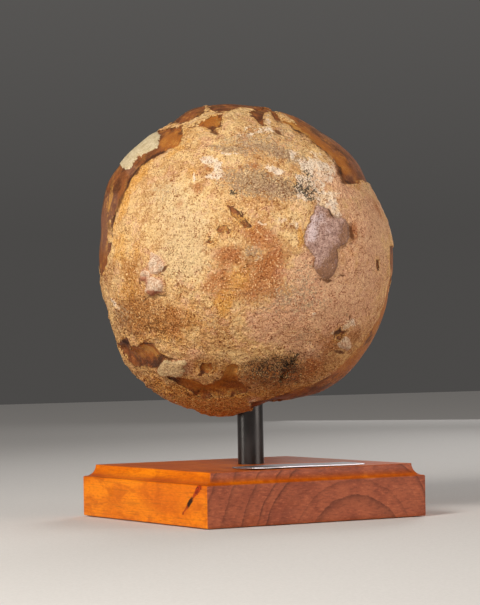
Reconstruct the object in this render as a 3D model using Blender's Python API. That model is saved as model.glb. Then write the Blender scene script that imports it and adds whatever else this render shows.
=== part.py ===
"""Fossil mammoth femur head on its stand.

Four pieces: the ball of a mammoth's hip joint, broken off its neck; the short black
rod that carries it; the square wooden base with a cove cut round its top; and the thin
metal plate that lies along the front of the base.

Metres, +Z up. The origin is the middle of the base's underside, and -Y is the plate's
side. Sizes below are in millimetres unless a name says otherwise.
"""
import itertools
import math

import bmesh
import bpy
import numpy as np

MM = 0.001
GAP = 0.3                       # clearance between pieces that touch

# Wooden base
BASE_SIDE = 152.4               # a 6 inch square
BASE_HEIGHT = 31.5              # 1 1/4 inch board
CORNER_RADIUS = 0.8             # the upright corners are only just eased
FOOT_EASE = 0.6                 # small chamfer round the underside
COVE_HEIGHT = 7.8               # the hollow moulding below the top edge
COVE_INSET = 5.8
FILLET = 0.8                    # the small round between the cove and the side
COVE_STEPS = 8
CORNER_STEPS = 3

# Support rod
ROD_RADIUS = 7.94               # 5/8 inch bar
ROD_SEAT_IN_BASE = 20.0
ROD_SEAT_IN_BONE = 44.0
ROD_SIDES = 48

# Nameplate
PLATE_WIDTH = 79.0
PLATE_DEPTH = 24.0
PLATE_THICKNESS = 0.8
PLATE_SETBACK = 4.0             # from the top's front edge
PLATE_WAVE = 0.35               # the sheet isn't quite flat
PLATE_CELLS = (24, 8)

# Femur head: where the ball's middle is, and which way its face looks
BALL_CENTRE = (-1.3, -0.7, 156.5)
FACE_TURN = math.radians(31.4)  # from the plate's side round towards -X
FACE_TIP = math.radians(-2.2)   # a little downwards
FACE_ROLL = math.radians(-0.9)
BALL_RADIUS = 92.0              # the mean radius, on which the markings are laid out
POLE_RADIUS = 91.0              # middle of the face
SIGHT_DISTANCE = 1444.0         # the chart is drawn as seen from this far in front
CHART_STEPS = 40                # enough for the chart to settle

# Radius of the ball's outline every 10 degrees, from its right side over the top
OUTLINE = (
    90.8, 90.1, 88.9, 88.6, 90.7, 91.1, 91.0, 93.1, 93.7, 94.6, 96.9, 98.7,
    95.4, 96.2, 96.8, 97.7, 94.7, 91.5, 91.2, 90.7, 90.8, 93.3, 97.2, 98.0,
    99.1, 97.3, 97.4, 94.0, 89.6, 92.0, 94.1, 94.2, 93.2, 92.0, 91.1, 90.3,
)
OUTLINE_REACH = math.radians(20.0)   # how far its small dents run over the face
TANGENT = math.radians(86.4)         # where the sight line grazes the ball

# The broken neck at the back: a plane across the ball, facing back, down and left
BREAK_NORMAL = (-0.30, -0.42, -0.86)
BREAK_DISTANCE = 62.0
BREAK_ROUND = 4.0               # how softly its edge turns over
BREAK_RELIEF = 5.0              # the torn bone stands this much proud and hollow
NECK_ANGLE = math.radians(62.0)      # the smooth joint surface ends this far from it
NECK_STEP = 3.0

CRUST = 1.4                     # thickness of the sandy crust over the smooth bone
WANDER = 9.0                    # how far a patch's edge strays past the ball's rim
SURFACE_LEVEL = 7               # subdivisions of the ball before it is thinned
BONE_TRIANGLES = 7600

# Places where the crust has come off: outline on the chart in millimetres from the
# ball's middle, right and up, then how deep the place lies and how wide its edge is.
BARE_PATCHES = {
    "left_band": (
        ((-40, 82), (-41, 72), (-50, 67), (-58, 62), (-66, 57), (-70, 51), (-74, 44),
         (-80, 32), (-83, 20), (-86, 3), (-88, -6), (-118, -8), (-118, 50), (-80, 90)),
        CRUST, 2.0),
    "top_right_band": (
        ((18, 92), (21, 85), (31, 79), (43, 70), (50, 65), (56, 58), (59, 50), (67, 46),
         (76, 47), (110, 60), (85, 95), (40, 118), (14, 116)),
        CRUST, 2.0),
    "top_left_strip": (
        ((-45, 84), (-38, 84), (-29, 88), (-25, 95), (-40, 112)),
        CRUST, 2.0),
    "hollow": (
        ((-80, -51), (-72, -49), (-71, -55), (-65, -53), (-57, -55), (-51, -59),
         (-54, -66), (-61, -67), (-69, -64), (-75, -58)),
        5.0, 7.0),
    "bottom_band": (
        ((-47, -71), (-35, -73), (-20, -77), (-12, -67), (-6, -65), (-5, -73), (-4, -79),
         (-14, -83), (-25, -86), (-39, -79)),
        2.4, 3.4),
    "lower_right_rim": (
        ((90, -10), (86, -28), (83, -37), (78, -47), (71, -57), (58, -67), (42, -76),
         (22, -84), (30, -118), (84, -92), (118, -20)),
        CRUST, 2.0),
}

# Thin layers that stand proud of the crust: outline, height, width of the edge
RAISED_PATCHES = {
    "mauve_scab": (
        ((43, 33), (52, 31), (54, 26), (64, 26), (66, 12), (58, 7), (56, -1), (54, -8),
         (50, -12), (44, -10), (42, 2), (36, 9), (35, 15), (39, 26)),
        1.0, 2.6),
    "left_flake": (
        ((-53, 78), (-55, 72), (-60, 67), (-68, 59), (-73, 56), (-77, 58), (-68, 71),
         (-60, 78)),
        1.3, 2.0),
    "lower_flake": (
        ((-54, -66), (-50, -61), (-37, -62), (-36, -65), (-40, -70), (-53, -70)),
        2.2, 2.0),
}

# Lumps and pits: middle on the chart, half length along and across, turn in degrees,
# height (below zero for a pit)
SPOTS = {
    "upper_lump": ((-55, -3), (5.5, 5.0), 60, 3.0),
    "lower_lump": ((-56, -15), (7.0, 5.2), -10, 3.2),
    "notch_below_lumps": ((-52, -21), (8.0, 2.2), 12, -1.8),
    "left_lip": ((-80, -29), (9.0, 2.6), -70, 2.0),
    "crust_brow": ((-44, -56), (12.0, 4.0), -20, 2.0),
    "bottom_pit": ((-25, -66), (5.0, 3.4), 0, -3.0),
    "grey_dent": ((16, -68), (15.0, 8.0), -5, -1.6),
    "fissure": ((24, -69), (10.0, 2.4), 62, -4.0),
    "pale_lump": ((60, -52), (5.5, 4.5), 30, 2.8),
    "pit_above_it": ((59, -45), (4.0, 2.2), 10, -2.4),
    "small_lump": ((40, -57), (4.5, 4.0), 0, 1.6),
    "right_slot": ((80, -3), (3.6, 1.6), 88, -2.0),
    "upper_notch": ((-50, 83), (4.5, 2.4), 45, -1.8),
}


def ball_axes():
    """Rows: the ball's right, up and out of its face, in the object's own frame."""
    out = np.array([-math.sin(FACE_TURN) * math.cos(FACE_TIP),
                    -math.cos(FACE_TURN) * math.cos(FACE_TIP),
                    math.sin(FACE_TIP)])
    level = np.array([math.cos(FACE_TURN), -math.sin(FACE_TURN), 0.0])
    upright = np.cross(out, level)
    right = level * math.cos(FACE_ROLL) + upright * math.sin(FACE_ROLL)
    return np.array([right, np.cross(out, right), out])


def smooth_step(value, low, high):
    """0 below low, 1 above high, an S-curve between."""
    t = np.clip((value - low) / (high - low), 0.0, 1.0)
    return t * t * (3.0 - 2.0 * t)


def lumpy(points, size, seed):
    """Smooth random value from -1 to 1 at each point, in blobs about size across."""
    place = points / size
    cell = np.floor(place).astype(np.int64)
    t = place - cell
    t = t * t * (3.0 - 2.0 * t)
    total = np.zeros(len(points))
    for corner in itertools.product((0, 1), repeat=3):
        x, y, z = (cell + corner).T
        mixed = (x * 73856093) ^ (y * 19349663) ^ (z * 83492791) ^ (seed * 2654435761)
        mixed = ((mixed ^ (mixed >> 13)) * 1274126177) & 0x7FFFFFFF
        share = np.prod(np.where(corner, t, 1.0 - t), axis=1)
        total += share * ((mixed % 10007) / 5003.0 - 1.0)
    return total


def outline_radius(angle, ring):
    """Radius at an angle in degrees, on a closed cubic curve through the ring's values."""
    step = 360.0 / len(ring)
    place = (angle % 360.0) / step
    i = np.floor(place).astype(int)
    t = place - i
    a, b, c, d = (ring[(i + k) % len(ring)] for k in (-1, 0, 1, 2))
    return b + 0.5 * t * (c - a + t * (2 * a - 5 * b + 4 * c - d + t * (3 * (b - c) + d - a)))


def broad_radius(angle, polar):
    """Radius of the broad form at an angle round the face and from its middle.

    It goes from POLE_RADIUS at the face's middle to the outline at its rim; the
    outline's small dents fade over OUTLINE_REACH.
    """
    ring = np.array(OUTLINE)
    broad_ring = sum(np.roll(ring, k) for k in range(-3, 4)) / 7.0
    broad = outline_radius(angle, broad_ring)
    dents = outline_radius(angle, ring) - broad
    radius = POLE_RADIUS + (broad - POLE_RADIUS) * np.sin(polar) ** 2
    return radius + dents * np.exp(-((polar - TANGENT) / OUTLINE_REACH) ** 2)


def chart_place(angle, polar, radius):
    """Where each point of the ball is on the chart, right and up.

    Up to the sight line's tangent the chart is the ball as it is seen from
    SIGHT_DISTANCE; past it the chart goes on as distance round the ball's side.
    """
    near = np.minimum(polar, TANGENT)
    seen = SIGHT_DISTANCE * radius * np.sin(near) / (SIGHT_DISTANCE - radius * np.cos(near))
    reach = seen + radius * (polar - near)
    turn = np.radians(angle)
    return reach[:, None] * np.column_stack([np.cos(turn), np.sin(turn)])


def ball_direction(chart_points):
    """The direction from the ball's middle of each point on the chart.

    The polar angle is wanted but the radius depends on it, so a guess is improved
    step by step until it settles.
    """
    chart_points = np.asarray(chart_points, float)
    angle = np.degrees(np.arctan2(chart_points[:, 1], chart_points[:, 0]))
    wanted = np.hypot(chart_points[:, 0], chart_points[:, 1])
    polar = np.minimum(wanted / BALL_RADIUS, TANGENT)
    for _ in range(CHART_STEPS):
        radius = broad_radius(angle, polar)
        got = np.hypot(*chart_place(angle, polar, radius).T)
        slope = np.where(polar < TANGENT, np.maximum(np.cos(polar), 0.25), 1.0)
        polar = polar + (wanted - got) / (radius * slope)
    turn = np.radians(angle)
    return np.column_stack([np.cos(turn) * np.sin(polar), np.sin(turn) * np.sin(polar),
                            np.cos(polar)])


def edge_distance(directions, chart, outline):
    """Millimetres over the ball from a patch's edge, below zero inside the patch."""
    points = directions * BALL_RADIUS
    corners = ball_direction(outline) * BALL_RADIUS
    u, v = chart.T
    inside = np.zeros(len(points), bool)
    nearest = np.full(len(points), np.inf)
    for k in range(len(outline)):
        start, span = corners[k - 1], corners[k] - corners[k - 1]
        t = np.clip((points - start) @ span / (span @ span), 0.0, 1.0)
        away = points - start - t[:, None] * span
        nearest = np.minimum(nearest, np.sqrt((away * away).sum(axis=1)))
        (u0, v0), (u1, v1) = outline[k - 1], outline[k]
        if v0 != v1:
            inside ^= ((v0 > v) != (v1 > v)) & (u < u0 + (v - v0) * (u1 - u0) / (v1 - v0))
    return np.where(inside, -nearest, nearest)


def spot_height(directions, middle, half_sizes, turn, height):
    """A round-topped lump, or a pit, on the ball at a place on the chart."""
    out = ball_direction([middle])[0]
    right = np.cross((0.0, 1.0, 0.0), out)
    right /= np.linalg.norm(right)
    up = np.cross(out, right)
    turn = math.radians(turn)
    along = math.cos(turn) * right + math.sin(turn) * up
    across = math.cos(turn) * up - math.sin(turn) * right
    away = (directions - out) * BALL_RADIUS
    reach = np.hypot(away @ along / half_sizes[0], away @ across / half_sizes[1])
    return height * (1.0 - smooth_step(reach, 0.35, 1.25))


def bone_radius(directions):
    """Distance from the ball's middle to its surface along each direction.

    The broad form comes first; bare patches, thin layers, lumps and pits are added to
    it; then the neck steps in and a plane cuts it off.
    """
    points = directions * BALL_RADIUS
    polar = np.arccos(np.clip(directions[:, 2], -1.0, 1.0))
    angle = np.degrees(np.arctan2(directions[:, 1], directions[:, 0]))
    radius = broad_radius(angle, polar)
    chart = chart_place(angle, polar, radius)
    radius = radius + 0.7 * lumpy(points, 30.0, 3) + 0.35 * lumpy(points, 11.0, 5)

    ragged = 1.6 * lumpy(points, 7.0, 11) + 0.8 * lumpy(points, 3.5, 12)
    past_rim = smooth_step(polar, math.radians(88), math.radians(99))
    wander = past_rim * (WANDER * lumpy(points, 17.0, 14) + WANDER / 3 * lumpy(points, 8.0, 15))
    for outline, depth, edge in BARE_PATCHES.values():
        inside = wander - edge_distance(directions, chart, outline) - ragged
        radius -= depth * smooth_step(inside, 0.0, edge)
    for outline, height, edge in RAISED_PATCHES.values():
        inside = -(edge_distance(directions, chart, outline) + 0.5 * ragged)
        radius += height * smooth_step(inside, 0.0, edge)
    for middle, half_sizes, turn, height in SPOTS.values():
        radius += spot_height(directions, middle, half_sizes, turn, height)

    normal = np.array(BREAK_NORMAL) / np.linalg.norm(BREAK_NORMAL)
    facing = directions @ normal
    to_break = np.arccos(np.clip(facing, -1.0, 1.0)) * BALL_RADIUS
    margin = NECK_ANGLE * BALL_RADIUS + 2.5 * ragged
    neck = 1.0 - smooth_step(to_break, margin - 4.0, margin)
    radius -= neck * (NECK_STEP + 0.9 * lumpy(points, 6.0, 21))
    torn = BREAK_DISTANCE + BREAK_RELIEF * (
        0.6 * lumpy(points, 26.0, 31) + 0.3 * lumpy(points, 9.0, 32) + 0.2 * lumpy(points, 5.0, 33))
    cut = torn / np.maximum(facing, 0.2)
    return -BREAK_ROUND * np.log(np.exp(-radius / BREAK_ROUND) + np.exp(-cut / BREAK_ROUND))


def material(name, colour, roughness, metallic=0.0):
    """A plain Principled material."""
    made = bpy.data.materials.new(name)
    made.use_nodes = True
    shader = made.node_tree.nodes["Principled BSDF"]
    shader.inputs["Base Color"].default_value = (*colour, 1.0)
    shader.inputs["Roughness"].default_value = roughness
    shader.inputs["Metallic"].default_value = metallic
    return made


def add_object(name, mesh_builder, surface=None):
    """Turn a bmesh into a named object in the scene."""
    mesh = bpy.data.meshes.new(name)
    mesh_builder.to_mesh(mesh)
    mesh_builder.free()
    piece = bpy.data.objects.new(name, mesh)
    bpy.context.scene.collection.objects.link(piece)
    if surface:
        mesh.materials.append(surface)
    return piece


def shade_round(piece, degrees):
    """Smooth shading, with edges sharper than this many degrees left crisp."""
    piece.data.shade_smooth()
    piece.data.set_sharp_from_angle(angle=math.radians(degrees))


def upright_cylinder(name, radius, low, high, sides, surface=None):
    """A closed cylinder on the rod's axis, from low to high."""
    builder = bmesh.new()
    bmesh.ops.create_cone(builder, cap_ends=True, segments=sides, radius1=radius * MM,
                          radius2=radius * MM, depth=(high - low) * MM)
    bmesh.ops.translate(builder, vec=(0, 0, (low + high) / 2 * MM), verts=builder.verts)
    return add_object(name, builder, surface)


def cut_out(piece, cutter):
    """Take the cutter's volume out of the piece."""
    cutter.hide_render = True
    cutter.display_type = "WIRE"
    cut = piece.modifiers.new("Rod hole", "BOOLEAN")
    cut.operation = "DIFFERENCE"
    cut.solver = "EXACT"
    cut.object = cutter


def rounded_square(side, radius, height):
    """Corner points of a level square with rounded corners."""
    half = side / 2 - radius
    points = []
    for quarter in range(4):
        middle = math.radians(45 + 90 * quarter)
        for k in range(CORNER_STEPS + 1):
            turn = math.radians(90 * quarter + 90 * k / CORNER_STEPS)
            points.append((math.copysign(half, math.cos(middle)) + radius * math.cos(turn),
                           math.copysign(half, math.sin(middle)) + radius * math.sin(turn),
                           height))
    return points


def base_profile():
    """The base's edge from the underside up: how far in it is, and how high."""
    profile = [(FOOT_EASE, 0.0), (0.0, FOOT_EASE)]
    lip = BASE_HEIGHT - COVE_HEIGHT
    for k in range(COVE_STEPS // 2 + 1):
        turn = math.radians(90 * k / (COVE_STEPS // 2))
        profile.append((FILLET * (1 - math.cos(turn)), lip + FILLET * math.sin(turn)))
    for k in range(1, COVE_STEPS + 1):
        turn = math.radians(90 * (1 - k / COVE_STEPS))
        profile.append((COVE_INSET - (COVE_INSET - FILLET) * (1 - math.cos(turn)),
                        BASE_HEIGHT - (COVE_HEIGHT - FILLET) * math.sin(turn)))
    return profile


def build_base():
    """The square block: its edge profile carried round, closed top and bottom."""
    builder = bmesh.new()
    rings = []
    for inset, height in base_profile():
        ring = rounded_square(BASE_SIDE - 2 * inset, CORNER_RADIUS, height)
        rings.append([builder.verts.new((x * MM, y * MM, z * MM)) for x, y, z in ring])
    for lower, upper in zip(rings, rings[1:]):
        for k in range(len(lower)):
            builder.faces.new((lower[k - 1], lower[k], upper[k], upper[k - 1]))
    builder.faces.new(rings[0][::-1])
    builder.faces.new(rings[-1])
    base = add_object("wooden_base", builder, material("cherry wood", (0.42, 0.15, 0.05), 0.32))
    shade_round(base, 30)
    hole = upright_cylinder("base_hole", ROD_RADIUS + GAP, BASE_HEIGHT - ROD_SEAT_IN_BASE,
                            BASE_HEIGHT + 5.0, ROD_SIDES)
    cut_out(base, hole)
    return base


def build_rod(foot, top):
    """The black rod from its seat in the base to its seat in the bone."""
    rod = upright_cylinder("support_rod", ROD_RADIUS, foot, top, ROD_SIDES,
                           material("satin black", (0.015, 0.015, 0.017), 0.35))
    shade_round(rod, 30)
    return rod


def build_plate():
    """The thin plate: a sheet with a slow wave, its underside just over the wood."""
    across, deep = PLATE_CELLS
    builder = bmesh.new()
    bmesh.ops.create_grid(builder, x_segments=across, y_segments=deep, size=0.5)
    front = -BASE_SIDE / 2 + COVE_INSET + PLATE_SETBACK
    for vert in builder.verts:
        x = vert.co.x * PLATE_WIDTH
        y = front + (vert.co.y + 0.5) * PLATE_DEPTH
        wave = PLATE_WAVE * (1 + math.sin(x / 11.0 + 0.6)) / 2
        vert.co = (x * MM, y * MM, (BASE_HEIGHT + GAP + PLATE_THICKNESS + wave) * MM)
    plate = add_object("nameplate", builder, material("bare metal", (0.60, 0.62, 0.66), 0.28, 1.0))
    thick = plate.modifiers.new("Thickness", "SOLIDIFY")
    thick.thickness = PLATE_THICKNESS * MM
    thick.offset = -1.0
    return plate


def build_bone(seat_top):
    """The femur head: a fine ball shaped by bone_radius, thinned, and bored for the rod."""
    builder = bmesh.new()
    bmesh.ops.create_icosphere(builder, subdivisions=SURFACE_LEVEL, radius=1.0)
    mesh = bpy.data.meshes.new("femur_head")
    builder.to_mesh(mesh)
    builder.free()
    places = np.empty(len(mesh.vertices) * 3)
    mesh.vertices.foreach_get("co", places)
    directions = places.reshape(-1, 3)
    directions /= np.linalg.norm(directions, axis=1)[:, None]
    shaped = np.array(BALL_CENTRE) + (directions * bone_radius(directions)[:, None]) @ ball_axes()
    mesh.vertices.foreach_set("co", (shaped * MM).ravel())
    mesh.materials.append(material("fossil bone", (0.52, 0.34, 0.17), 0.7))
    mesh.shade_smooth()
    bone = bpy.data.objects.new("femur_head", mesh)
    bpy.context.scene.collection.objects.link(bone)
    thin = bone.modifiers.new("Thin out", "DECIMATE")
    thin.ratio = BONE_TRIANGLES / len(mesh.polygons)
    hole = upright_cylinder("bone_hole", ROD_RADIUS + GAP, BALL_CENTRE[2] - BALL_RADIUS - 20.0,
                            seat_top, ROD_SIDES)
    cut_out(bone, hole)
    return bone


def build():
    """Clear the scene and make the four pieces."""
    for old in list(bpy.data.objects):
        bpy.data.objects.remove(old, do_unlink=True)
    bone_underside = BALL_CENTRE[2] - BALL_RADIUS
    rod_top = bone_underside + ROD_SEAT_IN_BONE
    build_base()
    build_rod(BASE_HEIGHT - ROD_SEAT_IN_BASE + GAP, rod_top)
    build_plate()
    build_bone(rod_top + GAP)


build()
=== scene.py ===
# %% [markdown]
# # A fossil mammoth femur head on its stand
#
# The object is the ball of a mammoth's hip joint, broken off its neck and turned to stone.
# It stands on a short black rod in a square wooden base, with a bare metal plate in front.
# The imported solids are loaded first. They set every size and place, and each surface
# below is made to lie on them.

# %% Load the solids
import itertools
import math

import bpy
import mathutils
import numpy as np
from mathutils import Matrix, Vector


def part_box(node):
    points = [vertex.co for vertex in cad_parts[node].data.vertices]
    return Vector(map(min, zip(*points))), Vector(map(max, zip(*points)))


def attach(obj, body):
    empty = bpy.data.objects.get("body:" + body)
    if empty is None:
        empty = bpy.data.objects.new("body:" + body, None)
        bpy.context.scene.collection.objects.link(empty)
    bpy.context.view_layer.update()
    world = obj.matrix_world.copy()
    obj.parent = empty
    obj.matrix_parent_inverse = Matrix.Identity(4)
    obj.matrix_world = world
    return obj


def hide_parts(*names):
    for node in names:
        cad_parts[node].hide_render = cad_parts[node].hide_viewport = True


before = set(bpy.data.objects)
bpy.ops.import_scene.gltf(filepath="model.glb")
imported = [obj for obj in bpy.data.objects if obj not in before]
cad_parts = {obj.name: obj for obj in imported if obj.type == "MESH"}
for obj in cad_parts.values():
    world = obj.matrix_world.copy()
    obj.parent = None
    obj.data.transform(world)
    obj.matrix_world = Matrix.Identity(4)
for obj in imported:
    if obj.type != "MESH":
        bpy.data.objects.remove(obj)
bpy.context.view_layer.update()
MM = 0.001

# %% [markdown]
# ## Camera
#
# The object is seen at eye level, from the corner side of the base. A long lens far away
# keeps the base's edges nearly parallel and the ball round. A camera and a lamp both look
# along their own -Z, so one function sets either from three axes.

# %% Camera
CAMERA_PLACE = (-0.7529, -1.2328, 0.1018)
CAMERA_TURN = math.radians(31.21)      # from +Y round towards +X
CAMERA_RISE = math.radians(1.13)
CAMERA_ROLL = math.radians(-0.93)
LENS_MM = 140.35
SENSOR_MM = 36.0


def turned_axes(turn, rise, roll):
    """Right, up and forward of a thing that faces +Y, once turned, raised and rolled.

    forward = (sin turn cos rise, cos turn cos rise, sin rise); right starts level and is
    rolled about forward; up is square to both.
    """
    forward = np.array([math.sin(turn) * math.cos(rise), math.cos(turn) * math.cos(rise),
                        math.sin(rise)])
    level = np.array([math.cos(turn), -math.sin(turn), 0.0])
    upright = np.cross(level, forward)
    right = level * math.cos(roll) + upright * math.sin(roll)
    return right, np.cross(right, forward), forward


def aim(obj, place, right, up, forward):
    """Put a camera or lamp at a place, its -Z along forward."""
    matrix = np.eye(4)
    matrix[:3, :3] = np.column_stack([right, up, -np.asarray(forward)])
    matrix[:3, 3] = place
    obj.matrix_world = mathutils.Matrix(matrix.tolist())


camera = bpy.data.objects.new("camera", bpy.data.cameras.new("camera"))
bpy.context.scene.collection.objects.link(camera)
camera.data.lens = LENS_MM
camera.data.sensor_width = SENSOR_MM
camera.data.clip_start = 0.05
aim(camera, CAMERA_PLACE, *turned_axes(CAMERA_TURN, CAMERA_RISE, CAMERA_ROLL))
bpy.context.scene.camera = camera
print("camera at", CAMERA_PLACE)

# %% [markdown]
# ## Finishes
#
# Every finish here is one Principled shader fed by noise, cells and masks. Written out
# node by node that is long, so two small classes help. A Pattern is a number that varies
# over the surface: it adds and multiplies like one, and each sign makes a Math node. A
# Finish makes the patterns and lays one coat of paint over another where a pattern says.
# Sizes are in millimetres, because grain and pores are measured that way on the bench.

# %% A helper for node materials
def paint(red, green, blue):
    """A screen colour from 0 to 255, as the linear RGBA that a shader socket takes."""
    shares = np.array([red, green, blue]) / 255.0
    linear = np.where(shares <= 0.04045, shares / 12.92, ((shares + 0.055) / 1.055) ** 2.4)
    return (*map(float, linear), 1.0)


def paints(**levels):
    """Named colours, each given by its screen levels of red, green and blue."""
    return {name: paint(*rgb) for name, rgb in levels.items()}


class Pattern:
    """A number that varies over a surface: a node's output that adds and scales like one."""

    def __init__(self, finish, socket):
        self.finish, self.socket = finish, socket

    def __add__(self, other):
        return self.finish.calc("ADD", self, other)

    def __radd__(self, other):
        return self.finish.calc("ADD", other, self)

    def __sub__(self, other):
        return self.finish.calc("SUBTRACT", self, other)

    def __rsub__(self, other):
        return self.finish.calc("SUBTRACT", other, self)

    def __mul__(self, other):
        return self.finish.calc("MULTIPLY", self, other)

    def __truediv__(self, other):
        return self.finish.calc("DIVIDE", self, other)

    def __abs__(self):
        return self.finish.calc("ABSOLUTE", self)

    def clamped(self):
        """The same number held between 0 and 1."""
        self.socket.node.use_clamp = True
        return self

    def ramp(self, low, high, bottom=0.0, top=1.0):
        """bottom below low, top above high, an S-curve between."""
        sockets = {"Value": self, "From Min": low, "From Max": high,
                   "To Min": bottom, "To Max": top}
        return self.finish.number("ShaderNodeMapRange", sockets,
                                  interpolation_type="SMOOTHSTEP")


class Finish:
    """A Principled material whose patterns are in millimetres on Object coordinates."""

    def __init__(self, name):
        self.material = bpy.data.materials.new(name)
        self.material.use_nodes = True
        self.tree = self.material.node_tree
        self.shader = self.tree.nodes["Principled BSDF"]
        self.place = self.add("ShaderNodeTexCoord").outputs["Object"]

    def add(self, kind, sockets=(), **settings):
        """A node with its settings, and its sockets set to a value or linked."""
        node = self.tree.nodes.new(kind)
        for name, value in settings.items():
            setattr(node, name, value)
        for key, value in dict(sockets).items():
            self.put(node.inputs[key], value)
        return node

    def number(self, kind, sockets=(), output=0, **settings):
        """A node whose output is wanted as a pattern."""
        return Pattern(self, self.add(kind, sockets, **settings).outputs[output])

    def put(self, socket, value):
        """Link a pattern or an output into a socket, or set the socket's own value."""
        if isinstance(value, Pattern):
            value = value.socket
        if isinstance(value, bpy.types.NodeSocket):
            self.tree.links.new(value, socket)
        else:
            socket.default_value = value

    def mask(self, name):
        """A number stored on the mesh's points."""
        return self.number("ShaderNodeAttribute", output="Fac", attribute_name=name)

    def noise(self, size, detail=2.0, rough=0.55, place=None, warp=0.0):
        """Cloudy noise, about 0.5 on average, in blobs about size millimetres across."""
        sockets = {"Vector": place or self.place, "Scale": 1.0 / (size * MM), "Detail": detail,
                   "Roughness": rough, "Distortion": warp}
        return self.number("ShaderNodeTexNoise", sockets)

    def cells(self, size, place=None):
        """Distance from the nearest of many scattered points, 0 at each point."""
        sockets = {"Vector": place or self.place, "Scale": 1.0 / (size * MM)}
        return self.number("ShaderNodeTexVoronoi", sockets, output="Distance")

    def calc(self, operation, a, b=0.0):
        """One sum, product or power of two numbers."""
        return self.number("ShaderNodeMath", {0: a, 1: b}, operation=operation)

    def parts(self, vector):
        """The X, Y and Z of a vector."""
        split = self.add("ShaderNodeSeparateXYZ", {0: vector})
        return [Pattern(self, output) for output in split.outputs]

    def steps(self, value, stops):
        """A broken line: (place, height) stops joined by straight lines."""
        node = self.add("ShaderNodeValToRGB", {"Fac": value})
        elements = node.color_ramp.elements
        while len(elements) < len(stops):
            elements.new(0.5)
        for element, (place, height) in zip(elements, stops):
            element.position = place
            element.color = (height, height, height, 1.0)
        return Pattern(self, node.outputs["Color"])

    def blend(self, share, first, second, mode="MIX"):
        """The first colour where share is 0, the second where it is 1."""
        node = self.add("ShaderNodeMix", data_type="RGBA", blend_type=mode)
        for key, value in ((0, share), (6, first), (7, second)):
            self.put(node.inputs[key], value)
        return node.outputs[2]

    def coats(self, ground, *coats):
        """Paint laid on in turn: each coat is its share, its colour and perhaps its mode."""
        for share, colour, *mode in coats:
            ground = self.blend(share, ground, colour, *mode)
        return ground

    def stretch(self, along, turn=(0.0, 0.0, 0.0)):
        """Object coordinates scaled by along, so patterns run long where it is small."""
        sockets = {"Vector": self.place, "Scale": along, "Rotation": turn}
        return self.add("ShaderNodeMapping", sockets).outputs[0]

    def relief(self, height, depth):
        """A bump of depth millimetres for a height of 0 to 1."""
        sockets = {"Height": height, "Distance": depth * MM, "Strength": 1.0}
        return self.add("ShaderNodeBump", sockets).outputs[0]

    def surface(self, **sockets):
        """Feed the shader: names are the shader's socket names with _ for a space."""
        for name, value in sockets.items():
            self.put(self.shader.inputs[name.replace("_", " ")], value)
        return self.material


print("finish helper ready")

# %% [markdown]
# ## The broad form of the ball
#
# The ball isn't a true sphere: it is flattened on its left, full at lower left and a little
# taller than wide. Its face has its own right, up and out. The radius of the outline is
# given every 10 degrees round the face and a closed cubic joins the values. The broad part of
# the outline spreads over the whole ball, and its small dents stay near the rim.

# %% Frame and outline
BALL_CENTRE = (-1.3, -0.7, 156.5)
FACE_TURN = math.radians(31.4)
FACE_TIP = math.radians(-2.2)
FACE_ROLL = math.radians(-0.9)
SIGHT_DISTANCE = 1444.0
TANGENT = math.radians(86.4)           # where the line of sight grazes the ball
BALL_RADIUS = 92.0
POLE_RADIUS = 91.0
OUTLINE = (
    90.8, 90.1, 88.9, 88.6, 90.7, 91.1, 91.0, 93.1, 93.7, 94.6, 96.9, 98.7,
    95.4, 96.2, 96.8, 97.7, 94.7, 91.5, 91.2, 90.7, 90.8, 93.3, 97.2, 98.0,
    99.1, 97.3, 97.4, 94.0, 89.6, 92.0, 94.1, 94.2, 93.2, 92.0, 91.1, 90.3,
)
OUTLINE_REACH = math.radians(20.0)
face_right, face_up, into_face = turned_axes(FACE_TURN, -FACE_TIP, FACE_ROLL)
BALL_AXES = np.array([face_right, face_up, -into_face])


def smooth_step(value, low, high):
    """0 below low, 1 above high, 3t^2 - 2t^3 between."""
    t = np.clip((value - low) / (high - low), 0.0, 1.0)
    return t * t * (3.0 - 2.0 * t)


def outline_radius(angle, ring):
    """Radius at an angle in degrees: the Catmull-Rom cubic through the ring's values."""
    step = 360.0 / len(ring)
    place = (angle % 360.0) / step
    i = np.floor(place).astype(int)
    t = place - i
    a, b, c, d = (ring[(i + k) % len(ring)] for k in (-1, 0, 1, 2))
    return b + 0.5 * t * (c - a + t * (2 * a - 5 * b + 4 * c - d + t * (3 * (b - c) + d - a)))


def broad_radius(angle, polar):
    """pole + (broad outline - pole) sin^2 p + dents exp(-((p - tangent) / reach)^2).

    angle runs round the face in degrees, p is the polar angle from its middle.
    """
    ring = np.array(OUTLINE)
    broad_ring = sum(np.roll(ring, k) for k in range(-3, 4)) / 7.0
    broad = outline_radius(angle, broad_ring)
    dents = outline_radius(angle, ring) - broad
    radius = POLE_RADIUS + (broad - POLE_RADIUS) * np.sin(polar) ** 2
    return radius + dents * np.exp(-((polar - TANGENT) / OUTLINE_REACH) ** 2)


print("ball axes:", BALL_AXES.round(3).tolist())

# %% [markdown]
# ## A chart of the face
#
# The chips and stains are laid out on a chart, a flat picture of the face in millimetres as
# it is seen from 1.44 m in front. Past the rim the chart goes on as distance round the side,
# so a patch can run over the edge. A chart like this is what a model maker draws before
# carving: each mark gets its place once, and both the relief and the colour read it.

# %% Chart
def chart_place(angle, polar, radius):
    """Where each point of the ball lies on the chart.

    reach = D r sin p / (D - r cos p) up to the tangent, then that reach at the tangent
    + r (p - tangent), where p is the polar angle and r the radius there.
    """
    near = np.minimum(polar, TANGENT)
    seen = SIGHT_DISTANCE * radius * np.sin(near) / (SIGHT_DISTANCE - radius * np.cos(near))
    reach = seen + radius * (polar - near)
    turn = np.radians(angle)
    return reach[:, None] * np.column_stack([np.cos(turn), np.sin(turn)])


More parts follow.
